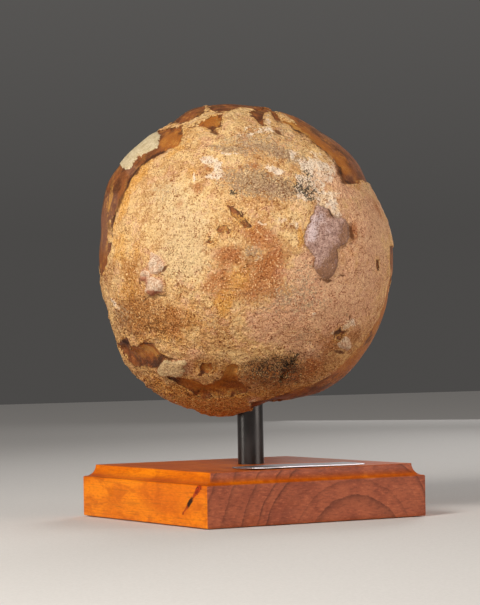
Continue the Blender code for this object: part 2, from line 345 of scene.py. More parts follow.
def ball_direction(chart_points):
    """The other way round: the direction from the ball's middle of points on the chart.

    The polar angle is wanted but the radius depends on it, so a guess is improved by
    p + (reach wanted - reach got) / (r max(cos p, 0.25)) until it settles.
    """
    chart_points = np.asarray(chart_points, float)
    angle = np.degrees(np.arctan2(chart_points[:, 1], chart_points[:, 0]))
    wanted = np.hypot(chart_points[:, 0], chart_points[:, 1])
    polar = np.minimum(wanted / BALL_RADIUS, TANGENT)
    for _ in range(40):
        radius = broad_radius(angle, polar)
        got = np.hypot(*chart_place(angle, polar, radius).T)
        slope = np.where(polar < TANGENT, np.maximum(np.cos(polar), 0.25), 1.0)
        polar = polar + (wanted - got) / (radius * slope)
    turn = np.radians(angle)
    across = np.sin(polar)
    return np.column_stack([np.cos(turn) * across, np.sin(turn) * across, np.cos(polar)])


print("30 mm right of the middle faces", ball_direction([(30.0, 0.0)]).round(3)[0])

# %% [markdown]
# ## A ball of even cells
#
# A globe of latitude rings would crowd its points at the poles. Six square grids, blown up
# from a cube onto the sphere, keep the cells alike all round. The points are then drawn
# towards the face, where the finest relief is. Points that two grids share are merged, so
# the skin is closed.

# %% Directions and faces of the ball
CELLS_A_SIDE = 128
FACE_CROWDING = 0.30


def cube_ball(cells, crowding):
    """Unit directions and four-sided faces of a closed ball.

    Each grid point (a, b) becomes (tan a, tan b, 1) with a and b in -45..45 degrees, is
    turned to its side of the cube and made unit length; then its angle p from the face's
    middle becomes p - crowding sin p.
    """
    side = np.tan(np.linspace(-math.pi / 4, math.pi / 4, cells + 1))
    a, b = np.meshgrid(side, side, indexing="ij")
    flat = np.stack([a, b, np.ones_like(a)], axis=-1).reshape(-1, 3)
    turns = [np.roll(np.eye(3), k, axis=1) * sign for k in range(3) for sign in (1.0, -1.0)]
    points = np.concatenate([flat @ turn for turn in turns])
    points /= np.linalg.norm(points, axis=1)[:, None]
    n = cells + 1
    i, j = np.meshgrid(np.arange(cells), np.arange(cells), indexing="ij")
    corner = (i * n + j).ravel()
    quads = np.stack([corner, corner + n, corner + n + 1, corner + 1], axis=1)
    faces = np.concatenate([(quads if turn.sum() > 0 else quads[:, ::-1]) + k * n * n
                            for k, turn in enumerate(turns)])
    keys = np.round(points * 1e6).astype(np.int64)
    _, first, merged = np.unique(keys, axis=0, return_index=True, return_inverse=True)
    points, faces = points[first], merged.ravel()[faces]
    polar = np.arccos(np.clip(points[:, 2], -1.0, 1.0))
    drawn = polar - crowding * np.sin(polar)
    across = np.maximum(np.hypot(points[:, 0], points[:, 1]), 1e-12)
    flat = points[:, :2] / across[:, None] * np.sin(drawn)[:, None]
    return np.column_stack([flat, np.cos(drawn)]), faces


directions, ball_faces = cube_ball(CELLS_A_SIDE, FACE_CROWDING)
ball_points = directions * BALL_RADIUS
polar_angle = np.arccos(np.clip(directions[:, 2], -1.0, 1.0))
face_angle = np.degrees(np.arctan2(directions[:, 1], directions[:, 0]))
radius = broad_radius(face_angle, polar_angle)
chart = chart_place(face_angle, polar_angle, radius)
print("ball:", len(directions), "points", 2 * len(ball_faces), "triangles")

# %% [markdown]
# ## Random relief
#
# Two kinds of randomness make worn bone. Lumpy noise joins random heights at the corners of
# a lattice with an S-curve and gives soft swellings and ragged edges. Scattered points, one
# to a lattice cell, give the round pores of spongy bone. Both come from the place in space
# by arithmetic alone, so they are the same on every run.

# %% Noise and pores
def scrambled(cell, seed):
    """A repeatable random whole number for each lattice cell."""
    x, y, z = cell.T
    mixed = (x * 73856093) ^ (y * 19349663) ^ (z * 83492791) ^ (seed * 2654435761)
    return ((mixed ^ (mixed >> 13)) * 1274126177) & 0x7FFFFFFF


def lumpy(points, size, seed):
    """Smooth random value from -1 to 1 at each point, in blobs about size across."""
    place = points / size
    cell = np.floor(place).astype(np.int64)
    t = place - cell
    t = t * t * (3.0 - 2.0 * t)
    total = np.zeros(len(points))
    for corner in itertools.product((0, 1), repeat=3):
        share = np.prod(np.where(corner, t, 1.0 - t), axis=1)
        total += share * ((scrambled(cell + corner, seed) % 10007) / 5003.0 - 1.0)
    return total


def pore_distance(points, size, seed):
    """Distance to the nearest scattered point, in sizes; about 0 in a pore, 0.6 on a wall."""
    place = points / size
    cell = np.floor(place).astype(np.int64)
    nearest = np.full(len(points), 9.0)
    for step in itertools.product((-1, 0, 1), repeat=3):
        near = cell + step
        mixed = scrambled(near, seed)
        offset = np.column_stack([mixed % 1009, (mixed // 1009) % 1013, (mixed // 1000003) % 997])
        away = near + offset / 1009.0 - place
        nearest = np.minimum(nearest, (away * away).sum(axis=1))
    return np.sqrt(nearest)


def layered(*layers):
    """Sum of height * lumpy noise over the ball, from layers of (height, size, seed)."""
    return sum(height * lumpy(ball_points, size, seed) for height, size, seed in layers)


radius += layered((0.7, 30.0, 3), (0.35, 11.0, 5))
print("radius from", radius.min().round(1), "to", radius.max().round(1), "mm")

# %% [markdown]
# ## Where the crust has come off
#
# A sandy crust a millimetre or so thick covers the ball. Where it has chipped away, smooth
# brown bone shows. Each bare patch is an outline on the chart. The distance from every
# point to that outline, measured over the ball, is kept on the mesh: it is positive inside.
# The relief steps down where it passes zero, and the colour changes at the same line, so
# the two can't drift apart. Noise added to the distance makes the edge ragged.

# %% Bare patches
CRUST = 1.4                             # thickness of the crust
# a shallow groove runs just inside each broken edge
GROOVE_DEPTH = 0.4
GROOVE_PLACE = 0.9
GROOVE_WIDTH = 0.8


def edge_distance(outline):
    """Millimetres over the ball from an outline's edge, above zero inside it.

    The nearest of the distances to the outline's chords; a point is inside if a line to
    its left crosses the outline an odd number of times.
    """
    corners = ball_direction(outline) * BALL_RADIUS
    u, v = chart.T
    inside = np.zeros(len(ball_points), bool)
    nearest = np.full(len(ball_points), np.inf)
    for k in range(len(outline)):
        start, span = corners[k - 1], corners[k] - corners[k - 1]
        t = np.clip((ball_points - start) @ span / (span @ span), 0.0, 1.0)
        away = ball_points - start - t[:, None] * span
        nearest = np.minimum(nearest, np.sqrt((away * away).sum(axis=1)))
        (u0, v0), (u1, v1) = outline[k - 1], outline[k]
        if v0 != v1:
            inside ^= ((v0 > v) != (v1 > v)) & (u < u0 + (v - v0) * (u1 - u0) / (v1 - v0))
    return np.where(inside, nearest, -nearest)


def groove(inside, middle, width):
    """exp(-((inside - middle) / width)^2): 1 along a line beside an edge, 0 away from it."""
    return np.exp(-((inside - middle) / width) ** 2)


# outline, depth of the place, width of its edge, how ragged the edge is
BARE_PATCHES = {
    "left_band": (
        ((-40, 82), (-39, 76), (-42, 70), (-50, 67), (-55, 63.5), (-58.5, 62), (-66, 57),
         (-70, 51), (-74, 44.5), (-77.5, 37.5), (-79.3, 32.5), (-80.2, 26), (-81.4, 19.3),
         (-82.4, 12), (-83.9, 4.6), (-85.9, -2), (-87.6, -8), (-90, -14), (-100, -12), (-106, -2),
         (-120, 4), (-112, 20), (-122, 38), (-108, 50), (-96, 66), (-88, 86), (-72, 84),
         (-64, 92), (-56, 82), (-47, 81)), CRUST, 1.4, 0.8),
    "top_right_band": (
        ((14, 93), (15, 89.5), (18, 85.5), (22, 83.5), (26, 82.5), (31, 78.5), (36.5, 75.5),
         (42.5, 70.5), (50, 65), (55, 59.5), (57, 55), (59, 49.5), (63, 46.5), (67, 46), (70, 48),
         (76, 47), (88, 44), (97, 52), (112, 56), (104, 70), (92, 80), (84, 98), (66, 96),
         (52, 112), (38, 108), (24, 120), (14, 112)), CRUST, 1.4, 0.9),
    "top_patch": (
        ((2, 90.3), (7, 92.4), (14, 95), (15, 90.5), (10.7, 89.5), (9.5, 85.4), (10.7, 81.5),
         (7, 84), (4.6, 87.6)), 1.0, 1.2, 0.5),
    "top_left_strip": (
        ((-45, 84), (-38, 84.5), (-30, 88), (-26, 91), (-24, 98), (-40, 112), (-50, 92)),
        0.7, 1.8, 0.8),
    "top_strip": (
        ((-24, 93), (-18, 90.5), (-10, 91.5), (-4, 93), (2, 92.6), (6, 91.6), (14, 92), (20, 91),
         (24, 112), (-26, 112)), 0.7, 1.8, 0.5),
    "top_amber": (
        ((-33, 82), (-27, 85), (-22, 88), (-15, 89), (-14, 86), (-17, 81.5), (-21, 80),
         (-24, 81.5)), 1.2, 1.2, 0.8),
    "hollow": (
        ((-79.6, -51.4), (-76.9, -49.9), (-72.9, -48.7), (-72, -51.1), (-71.7, -55.4),
         (-70.4, -54.2), (-68.9, -52.4), (-65.2, -51.7), (-60.9, -50.8), (-57.9, -52.1),
         (-54.8, -54.2), (-52.4, -57.3), (-49.3, -60), (-51.1, -62.8), (-53.6, -65.8),
         (-59.1, -66.8), (-64, -66.4), (-68.9, -65.5), (-73.2, -62.2), (-76.2, -57.9)),
        3.2, 4.0, 0.9),
    "bottom_band": (
        ((-48.7, -71.3), (-43.8, -72), (-37.7, -73.2), (-33.4, -74.4), (-28.5, -76.2),
         (-24.2, -77.2), (-20.5, -76.2), (-17.5, -74.4), (-15.6, -72), (-15, -69.5),
         (-12.6, -66.4), (-9.5, -64.6), (-6.4, -64.6), (-5.2, -67.1), (-5.8, -70.7), (-4, -75.6),
         (-0.3, -78.7), (-0.3, -82.4), (-5.2, -83), (-10.1, -83), (-15, -83.6), (-19.9, -84.8),
         (-24.8, -85.1), (-29.7, -84.2), (-33.4, -81.8), (-37.1, -79.3), (-40.7, -76.2),
         (-44.4, -73.8)), 2.2, 3.2, 0.8),
    "lower_right_rim": (
        ((89.1, -10.1), (86.7, -17.5), (84.8, -26.6), (81.4, -35.8), (77.2, -43.2), (72.6, -49.9),
         (68.3, -56), (62.8, -61.5), (56.3, -67.7), (48.7, -73.2), (40.1, -76.9), (30.9, -80.2),
         (20.5, -83.6), (10.7, -86.7), (2.1, -88.5), (9.5, -110.5), (26.6, -105.6),
         (51.1, -114.2), (67.1, -100.7), (89.1, -88.5), (98.9, -68.9), (113.6, -52.4),
         (105, -38.3), (108.7, -24.8), (100.1, -13.8)), CRUST, 1.8, 0.5),
    "right_rim": (
        ((88.2, 8), (88.6, -2), (88.8, -10), (89.5, -14), (112, -14), (112, 8)), 0.7, 2.0, 0.4),
    "bottom_pit": (
        ((-30, -66), (-27, -63), (-22, -64), (-20, -67), (-23, -70), (-28, -69.5)),
        1.6, 2.6, 0.7),
    "brown_fleck": (
        ((-11, 33.5), (-8, 31.5), (-4.5, 29.5), (-1, 25), (2.5, 20), (-1, 20.5), (-5, 23.5),
         (-9, 27)), 0.6, 1.2, 0.6),
    "round_fleck": (
        ((-19, 17), (-16, 21.5), (-12, 21), (-10, 16), (-13, 17.5), (-16, 16.5)), 0.4, 1.2, 0.6),
    "dot": (
        ((-24, 11.5), (-22, 13.5), (-20, 11.5), (-22, 9.5)), 0.6, 1.0, 0.3),
    "right_slot": (
        ((79.6, -0.4), (80.9, -0.4), (81.2, -5.4), (80, -5.8)), 1.0, 0.8, 0.2),
    "pit_by_lump": (
        ((53.5, -45), (57, -43), (61, -44), (60, -47), (57.5, -49.5), (54.5, -48)),
        1.1, 2.0, 0.5),
}
# scraps of crust left inside the bare places
CRUST_SCRAPS = {
    "sliver": ((17, 91), (22, 89.5), (31, 83.8), (27, 84.4), (21, 86.8)),
    "left_ridge": ((-85.2, 24), (-83.6, 25), (-82.6, 18), (-83.2, 11), (-84.6, 10.4), (-85.2, 17)),
}

FAR = 12.0                              # the masks end this many millimetres from an edge
ragged = layered((1.5, 7.0, 11), (0.9, 3.5, 12), (0.5, 1.9, 13))
# past the rim nothing holds an edge to its place, so it wanders by several millimetres
past_rim = smooth_step(polar_angle, math.radians(88), math.radians(99))
wander = past_rim * layered((9.0, 17.0, 14), (3.0, 8.0, 15))
bare = np.full(len(ball_points), -FAR)
for outline, depth, edge, rough in BARE_PATCHES.values():
    inside = edge_distance(outline) - rough * ragged + wander
    radius -= depth * smooth_step(inside, -0.2, edge)
    radius -= GROOVE_DEPTH * groove(inside, GROOVE_PLACE, GROOVE_WIDTH)
    bare = np.maximum(bare, inside)
for outline in CRUST_SCRAPS.values():
    inside = edge_distance(outline) - 0.4 * ragged
    radius += CRUST * smooth_step(inside, -0.4, 1.0)
    bare = np.minimum(bare, -inside)
print("bare share of the ball:", (bare > 0).mean().round(3))

# %% [markdown]
# ## Chips round the back
#
# The chart holds the face and the sides near it. Further round, the crust is chipped in the
# same way but at random: wherever a slow noise passes a level, the crust is off. It fades in
# behind the rim, so it never disturbs the places laid out one by one.

# %% Random chips behind the rim
CHIP_LEVEL = 0.33                       # how high the noise must be for the crust to be off
CHIP_SLOPE = 22.0                       # millimetres from an edge for each unit of noise
behind = smooth_step(polar_angle, math.radians(97), math.radians(112))
chips = CHIP_SLOPE * (layered((1.0, 34.0, 41), (0.45, 13.0, 42)) - CHIP_LEVEL)
chips = np.minimum(chips, FAR) - 0.8 * ragged
# the fade takes the highest chips below zero where it starts
chips = np.where(behind > 0, chips - (FAR + 2.0) * (1.0 - behind), -FAR)
radius -= CRUST * smooth_step(chips, -0.2, 1.4)
bare = np.maximum(bare, chips)
print("bare with the back:", (bare > 0).mean().round(3))

# %% [markdown]
# ## Scabs, flakes, lumps and pits
#
# A few places stand proud of the crust: a purplish mineral scab on the right, two pale
# flakes of hard matrix, and small lumps of cemented grit. A flake is an outline with a
# height, like a bare patch turned over. A lump is a round-topped ellipse, and a pit the
# same with its height below zero.

# %% Things that stand proud, and pits
# outline, height, width of its edge
RAISED_PATCHES = {
    "scab": (
        ((42.9, 33.4), (46.8, 32.5), (51.1, 31.5), (52.4, 27.3), (56, 25.1), (58.5, 26),
         (61.2, 24.5), (63.1, 20.5), (62.8, 13.2), (60, 8.3), (57.3, 7), (56, 5.8), (56.6, -0.9),
         (53.9, -8.3), (49.9, -12.6), (44.4, -10.1), (41.3, -4.6), (41.9, 1.5), (35.8, 8.3),
         (34.9, 14.4), (36.4, 19), (39.5, 26)), 0.8, 2.2),
    "left_flake": (
        ((-53.3, 77.5), (-54.2, 73.2), (-55.1, 69.5), (-57.9, 68.3), (-60.9, 67.1), (-64, 66.1),
         (-65.8, 64), (-67.4, 65.2), (-68.3, 62.8), (-70.4, 60.3), (-72, 57), (-74.4, 56),
         (-76.9, 56.6), (-78.1, 60.3), (-76.9, 67.1), (-71.3, 73.8), (-65.2, 79.3),
         (-59.1, 81.1)), 1.2, 0.8),
    "lower_flake": (
        ((-54.8, -67.1), (-53, -64), (-50.5, -60.9), (-48.1, -60), (-45.6, -61.2), (-43.2, -61.5),
         (-40.1, -61.2), (-37.1, -61.5), (-36.1, -64), (-38.3, -65.8), (-36.4, -67.7),
         (-38.6, -70.1), (-41.9, -71.3), (-45.6, -70.4), (-49.3, -70.4), (-53, -69.8)), 1.9, 0.8),
    "pale_lump": (
        ((55.5, -51.5), (58, -49.5), (60.5, -46.5), (63.5, -48.5), (64.5, -52), (62.5, -56),
         (58, -55)), 1.9, 2.4),
    "upper_lump": (
        ((-58.5, 4.5), (-54.5, 3), (-51.5, -1), (-50, -4), (-51.5, -6.5), (-54.5, -9), (-58, -8),
         (-59.5, -3)), 1.9, 1.5),
    "middle_lump": (
        ((-65.5, -8), (-62, -6.5), (-59, -8.5), (-60, -13), (-65, -13)), 1.2, 1.4),
    "lower_lump": (
        ((-61, -11), (-56, -11), (-51.5, -13), (-50.5, -17), (-51.5, -20), (-57, -21.5),
         (-61, -19.5)), 2.2, 1.8),
}
# middle right and up, half sizes, turn in degrees, height
SPOTS = {
    "swelling_under_lumps": ((-58, -9), (11.0, 16.0), 20, 1.0),
    "shade_under_lumps": ((-54, -23.5), (8.0, 1.8), 6, -1.6),
    "left_lip": ((-80.5, -27.5), (9.0, 1.5), -64, 1.2),
    "left_ledge": ((-85, 9), (8.0, 1.3), 92, 1.0),
    "crust_brow": ((-44, -56), (10.0, 3.0), -16, 1.0),
    "brow_above_hollow": ((-66, -46), (12.0, 4.0), -12, 0.6),
    "pit_lip": ((-32, -58), (6.0, 4.0), 60, 0.9),
    "grey_dent": ((16, -67), (16.0, 8.0), -5, -1.8),
    "fissure_top": ((28, -64.5), (6.0, 1.2), 50, -2.2),
    "fissure_foot": ((23, -72.5), (6.0, 1.3), 70, -3.0),
    "small_lump": ((38.5, -55.5), (5.0, 4.4), 0, 1.2),
    "lump_over_pit": ((61.5, -39), (3.4, 4.0), 40, 1.3),
    "lip_over_pit": ((52, -43), (3.4, 2.0), 20, 0.9),
    "ring": ((41.5, -33.5), (2.6, 2.6), 0, 0.5),
    "dimple": ((59.5, -10), (3.4, 1.2), 5, -0.5),
    "cream_crack": ((-67, 63), (3.4, 0.9), 20, -0.9),
    "upper_notch": ((-49, 82), (4.0, 2.0), 48, -1.6),
    "streak_dent": ((19, 77.5), (6.0, 1.3), -28, -0.9),
    "top_scar": ((-20, 78.5), (5.0, 1.6), -8, -0.8),
    "high_arc": ((-15, 68.5), (12.0, 1.1), -6, 0.5),
}


def spot_reach(middle, half_sizes, turn):
    """How many half sizes each point is from a spot's middle, along its own two axes."""
    out = ball_direction([middle])[0]
    right = np.cross((0.0, 1.0, 0.0), out)
    right /= np.linalg.norm(right)
    up = np.cross(out, right)
    turn = math.radians(turn)
    away = (directions - out) * BALL_RADIUS
    along = away @ (math.cos(turn) * right + math.sin(turn) * up)
    across = away @ (math.cos(turn) * up - math.sin(turn) * right)
    return np.hypot(along / half_sizes[0], across / half_sizes[1])


MOAT_DEPTH = 0.45
MOAT_WIDTH = 0.9
raised = {}
for name, (outline, height, edge) in RAISED_PATCHES.items():
    raised[name] = edge_distance(outline) - 0.45 * ragged + wander
    radius += height * smooth_step(raised[name], -0.2, edge)
for middle, half_sizes, turn, height in SPOTS.values():
    radius += height * (1.0 - smooth_step(spot_reach(middle, half_sizes, turn), 0.35, 1.25))
# a faint moat round the scab, where the crust has shrunk from it
radius -= MOAT_DEPTH * groove(raised["scab"], -MOAT_WIDTH, MOAT_WIDTH)
print("raised places:", len(raised), "lumps and pits:", len(SPOTS))

# %% [markdown]
# ## Stains
#
# Rust, earth, soot, grey mould, chalk, cream and a golden bloom lie on the crust, amber and
# ochre on the bare bone. Some of them carry painted light and shade as well: the golden wash
# is partly painted warm light down the lit left side, the pink partly a painted shade tint on
# the right, the earth partly painted shade low down, the cream partly a painted highlight
# where the light is brightest, and some ochre painted highlights in the hollow. They have no
# relief, so each is a soft mask made from a few ellipses on the chart. Round the back, slow
# noise spreads the same stains, so the ball has no blank side.

# %% Stain masks
# middle right and up, half sizes, turn in degrees, strength
STAINS = {
    # partly painted warm light: the blots down the left side, where the lamp falls, carry its warm
    # tint; the rest are golden stains
    "golden": (
        (-66, 52, 9, 3.5, 48, 1.3), (-75, 36, 4, 12, -16, 0.9), (-80, 8, 5, 14, 0, 0.45),
        (-45, 66, 12, 4, 25, 0.6), (-72, 4, 9, 14, 0, 0.35), (-52, 12, 20, 24, 0, 0.3),
        (-28, 78, 20, 6, 5, 0.4), (-46, -40, 26, 16, 0, 0.7), (50, 50, 3, 6, -50, 0.7),
        (-14, -26, 6, 9, 0, 0.9), (-4, -14, 14, 9, 0, 0.4), (33, 14, 2.5, 10, 0, 0.9),
        (63, 5, 3, 5, 0, 0.7), (-32, 54, 8, 5, 0, 0.5), (-4, -6, 8, 12, 0, 0.5),
        (-34, -84, 14, 5, -24, 1.2), (-8, -92, 16, 5, 4, 1.2), (-24, -90, 14, 4, -14, 1.2),
        (-56, -76, 14, 4, -38, 0.7), (-72, -22, 10, 16, 0, 0.6), (-14, -90, 26, 6, 4, 0.8),
        (4, -84, 22, 4, 8, 0.6), (28, -78, 14, 4, 20, 0.6)),
    "rust": (
        (9, 15, 11, 7, -25, 1.2), (-12, 3, 10, 6, 12, 1.1), (-18, -13, 10, 6, 30, 0.9),
        (17, 0, 11, 8, 25, 0.95), (12, -14, 15, 9, -10, 0.8), (-4, -22, 20, 8, 0, 0.5),
        (-42, -32, 9, 8, 20, 0.45), (-44, -44, 8, 6, 0, 0.45), (81, 31, 1.6, 8, 25, 1.0),
        (65.5, 17, 2.5, 7, 0, 1.1), (-20, -90, 9, 4, 5, 0.3), (-42, 34, 4, 3, 0, 0.6),
        (-30, 44, 4, 4, 0, 0.8), (-21, 40, 5, 2.4, 60, 0.45), (26, -72, 22, 7, 15, 0.7),
        (-2, -74, 10, 6, 0, 0.6), (5, 57, 4, 3, 0, 1.0), (-22, 56, 3, 2, 0, 0.8),
        (52, -50, 14, 8, 20, 0.5), (60, -14, 10, 4, -20, 0.4), (36, -66, 12, 5, 20, 0.6),
        (6, 64, 3, 2, 0, 0.6), (-18, 78, 2, 1.6, 0, 0.8)),
    # partly painted shade: the blots low on the ball darken it where light from above falls less;
    # the rest are earth stains
    "earth": (
        (-70, -4, 16, 10, 0, 0.55), (-88, -12, 6, 20, 0, 0.5), (-58, -20, 12, 9, 0, 0.45),
        (-10, -2, 15, 11, 0, 0.5), (12, 2, 20, 18, 0, 0.42), (-46, -38, 18, 11, -5, 0.85),
        (-68, -36, 12, 12, 0, 0.6), (-28, -62, 20, 8, 0, 0.45), (30, -46, 34, 10, 0, 0.35),
        (14, -72, 36, 9, 0, 0.8), (-74, -30, 8, 16, 0, 0.4), (58, -54, 24, 12, 35, 0.6),
        (-20, -92, 34, 8, 0, 0.2), (30, -88, 40, 8, 10, 0.8), (82, -20, 8, 24, 0, 0.4)),
    "grey": (
        (6, 46, 22, 7, -6, 1.0), (22, 78, 18, 6, -20, 0.3), (0, 72, 18, 9, 0, 0.36),
        (24, 42, 11, 6, -10, 0.7), (24, 64, 14, 3.2, -18, 0.8), (14, -68, 19, 8, -4, 0.6),
        (29, -64, 9, 6, 30, 0.4), (10, 68, 22, 8, -8, 0.3), (36, -8, 12, 10, 0, 0.3),
        (36, 56, 10, 4, -30, 0.4), (-20, -38, 12, 8, 0, 0.3), (-76, -34, 6, 9, 0, 0.5),
        (28, -26, 26, 12, 0, 0.5), (0, 54, 16, 5, 0, 0.35), (-50, 42, 14, 10, 0, 0.3),
        (-13, 68, 9, 2, -6, 0.7), (4, 4, 7, 5, -20, 0.7), (34, -48, 9, 5, 0, 0.4)),
    # the faint blot at -44, 22 is a painted highlight, a pale wash where the light is brightest;
    # the rest is chalk
    "chalk": (
        (49, 52, 6, 4, -40, 0.6), (42, 51, 6, 7, 20, 1.3), (38, 42, 6, 6, 20, 1.2),
        (43, 55, 6, 3, -20, 1.0), (50, 36, 5, 7, -40, 1.1), (54.5, 30, 3, 5, 20, 1.3),
        (50, 35, 4, 3, 0, 0.8), (34, 46, 4, 8, 0, 0.9), (-24, 61, 4.5, 2.8, 0, 1.0),
        (-18.7, 59, 4, 3, -20, 1.1), (-17.5, 52.5, 4, 3.4, 0, 1.0), (-22, 51, 3, 2, 0, 0.7),
        (-32, 50, 1.2, 3, 0, 0.7), (-80.5, -27.5, 8, 1.0, -64, 0.8), (17, 55, 6, 2.2, -20, 1.2),
        (-11, 65, 8, 1.0, -6, 1.1), (28, 22, 12, 4, -10, 0.5), (34, 60, 14, 5, -38, 0.55),
        (10, 22, 5, 2, -30, 0.5), (48, 62, 12, 4, -38, 0.55), (4, 78, 20, 6, 0, 0.35),
        (5, -88, 5, 2, 0, 0.7), (63, -40, 4.5, 3, 20, 1.0), (52.5, -45, 2, 2, 0, 0.8),
        (41, -34, 2.4, 2.4, 0, 0.6), (39.5, -56, 5.5, 5, 0, 0.75), (-44, 22, 12, 8, 0, 0.35),
        (13, 84, 3, 4, -20, 0.7)),
    # partly painted shade: the broad washes on the right give the shaded side its pinker tint; the
    # small blots are pink stains
    "pink": (
        (-54.5, -2.5, 5, 5, 60, 1.2), (-61.5, -8, 3.5, 3.5, 0, 1.0), (-56, -15, 6.5, 5, -10, 1.2),
        (20, -8, 4, 2.6, 0, 0.9), (14, 12, 3, 2.5, 0, 0.7), (60, 30, 20, 30, 0, 0.65),
        (80, 16, 10, 30, 0, 0.6), (56, -26, 34, 32, 0, 0.8), (28, 34, 16, 10, 0, 0.4),
        (20, -40, 30, 16, 0, 0.8), (38, -6, 12, 12, 0, 0.7), (40, -57, 8, 7, 0, 1.1),
        (52, 51, 4, 6, -30, 1.0), (59, 46, 5, 6, 0, 0.8), (16, 45, 2.5, 1.6, 0, 0.8),
        (-26, 61, 3, 1.6, 0, 0.8), (6, -87, 6, 3, 0, 1.0), (-30, -22, 4, 3, 0, 0.6),
        (-31, -57, 6, 5, 0, 0.8), (-45, -66, 12, 6, 0, 1.2)),
    # partly painted highlight: the broad pale washes on the upper left lie where the light is
    # brightest; the rest is cream stain
    "cream": (
        (-38, 22, 24, 26, 0, 0.75), (-52, 42, 16, 10, 30, 0.35), (-40, -4, 18, 14, 0, 0.6),
        (-10, 74, 14, 5, 0, 0.5)),
    "specks": (
        (37, 52.4, 5.5, 3.4, -10, 0.8), (32.2, 45, 2.8, 4.8, 0, 0.75), (38.3, 39, 6, 4, -40, 0.8),
        (38, 46, 9, 9, 0, 0.45), (44, 41, 8, 4, -30, 0.2), (20, 47, 14, 4, -14, 0.6),
        (10, 52, 3, 2, 0, 0.5), (-8, 41.5, 2.4, 1.7, -20, 1.5), (28, 64, 10, 2.2, -25, 0.5),
        (-2, 42, 22, 5, -4, 0.45), (14, -67, 16, 8, 0, 0.7), (30, -60, 7, 4, 40, 0.7),
        (62, -34, 4, 5, 0, 0.6), (-70, -62, 5, 2, -40, 0.6), (-54, -80, 6, 2, -40, 0.6),
        (28, -64, 6, 1.0, 50, 1.4), (23, -72, 6, 1.2, 70, 1.5), (56, -50, 2, 1.2, 0, 0.8)),
    "coarse": (
        (-78, -30, 12, 24, 15, 0.7), (-62, -78, 16, 8, -38, 1.3), (0, -80, 40, 9, 4, 0.8),
        (-64, -42, 22, 10, -15, 0.9), (-44, -78, 20, 8, -28, 1.2), (-50, -30, 24, 20, 0, 0.6),
        (-86, -6, 8, 14, 0, 0.4), (20, -66, 26, 12, 0, 0.6), (-20, -92, 24, 7, 4, 0.9),
        (8, 44, 24, 10, 0, 0.4), (40, -60, 26, 14, 30, 0.5), (-20, -62, 16, 8, 0, 0.6)),
    "amber": (
        (-46, 74, 10, 8, 0, 1.0), (-23, 86, 10, 5, 0, 0.9), (20, 92, 16, 4, -25, 0.6),
        (34, 80, 16, 3, -35, 0.9), (50, 68, 14, 4, -42, 0.9), (62, 56, 8, 6, -45, 0.7),
        (-66, -55, 11, 6, -10, 0.8), (-20, -80, 18, 6, -6, 0.65), (-10, -69, 6, 6, 0, 1.4),
        (-25, -77, 12, 3, 0, 0.5), (66, -62, 22, 8, 40, 0.9), (84, -36, 8, 16, 0, 0.9),
        (-38, -76, 6, 4, -40, 0.6), (-24, -66, 5, 4, 0, 1.2), (88, -14, 4, 10, 0, 1.2),
        (-60, -57, 9, 5, -10, 0.8)),
    # ochre crumbs left on the bared bone, and painted highlights: golden streaks in the hollow
    # and a lit patch on the down-facing pit below
    "ochre": (
        (-62, -57, 6, 3, -20, 0.45), (-63, -56, 3.4, 1.4, -25, 0.9), (-58, -59, 5, 1.2, -45, 0.9),
        (-55, -54, 4, 1.4, -30, 0.8), (-67, -60, 4, 2, 0, 0.3), (-9, -69, 5, 6, 0, 1.0),
        (-15, 19, 6, 5, 0, 0.55), (-22, 11.5, 4, 4, 0, 0.4), (-5, 26, 7, 3, -38, 0.8),
        (34, 79, 14, 1.2, -36, 0.9), (50, 65, 10, 1.2, -42, 0.9), (24, 87, 8, 1.2, -30, 0.8),
        (-44, 72, 6, 4, 0, 0.4), (57, -46, 3, 3, 0, 0.8), (-30, -77, 10, 1.4, -20, 0.6),
        (-8, -82, 10, 3, 0, 0.5), (-20, -83, 8, 1.2, -10, 0.5), (-25, -67, 3, 2.4, 0, 0.6),
        (-84.5, 40, 1.2, 16, -12, 0.7), (-86, 16, 1.2, 14, 0, 0.6), (-60, 60, 8, 1.2, 42, 0.5),
        (74, -52, 20, 3, 54, 0.5), (40, -78, 16, 2, 24, 0.5)),
    "soot": (
        (12, -69, 18, 9, -4, 0.76), (28, -67, 6, 9, 20, 0.6), (22, -60, 16, 4, 10, 0.25),
        (10, 46, 16, 4, -6, 0.25)),
    # partly painted shadow: the thin blot along the lower edge of the pale lump on the right is
    # the shade under it; the rest is red on the lumps
    "lump_red": (
        (60, -56, 5, 1.6, 0, 0.7), (-63, -13, 5, 4, 0, 1.0), (-56, -21, 8, 2.6, 0, 1.3),
        (-50, -13, 2, 3, 0, 0.8)),
    "mauve": (
        (-87, 18, 7, 16, 0, 1.0), (-83, 38, 6, 8, 0, 0.6), (-72, 56, 6, 5, 40, 0.7),
        (64, 50, 5, 6, 0, 0.6)),
    # dark brown: gaps along a broken edge and dashes of bared bone, and painted shadow at the
    # feet of hollows, under overhanging crust and beneath lumps
    "gap": (
        (-52, 66.5, 5, 1.6, 18, 0.9), (-60.5, 61.5, 6, 1.5, 40, 1.1),
        (-69, 53.5, 6, 1.5, 50, 1.1), (-74, 44.5, 6, 1.4, 66, 1.1), (-78, 35, 6, 1.3, 70, 0.9),
        (-81.5, 26, 5, 1.3, 74, 0.8), (-74.5, -51.5, 3, 3.5, 10, 0.8), (-62, -65, 10, 2, -8, 0.7),
        (-54, -63, 4, 4, 0, 0.8), (-62, -52, 9, 1.0, 4, 0.7), (-53, -57, 5, 1, -40, 0.7),
        (-69, -57, 1.4, 4, 20, 0.5), (-46, -60, 7, 0.9, -14, 0.9), (-28, -81, 10, 1.2, -18, 0.4),
        (-12, -84, 6, 1.2, 0, 0.5), (-24, -67.5, 3, 2, 0, 0.3), (-36, -82, 4, 0.7, -40, 0.9),
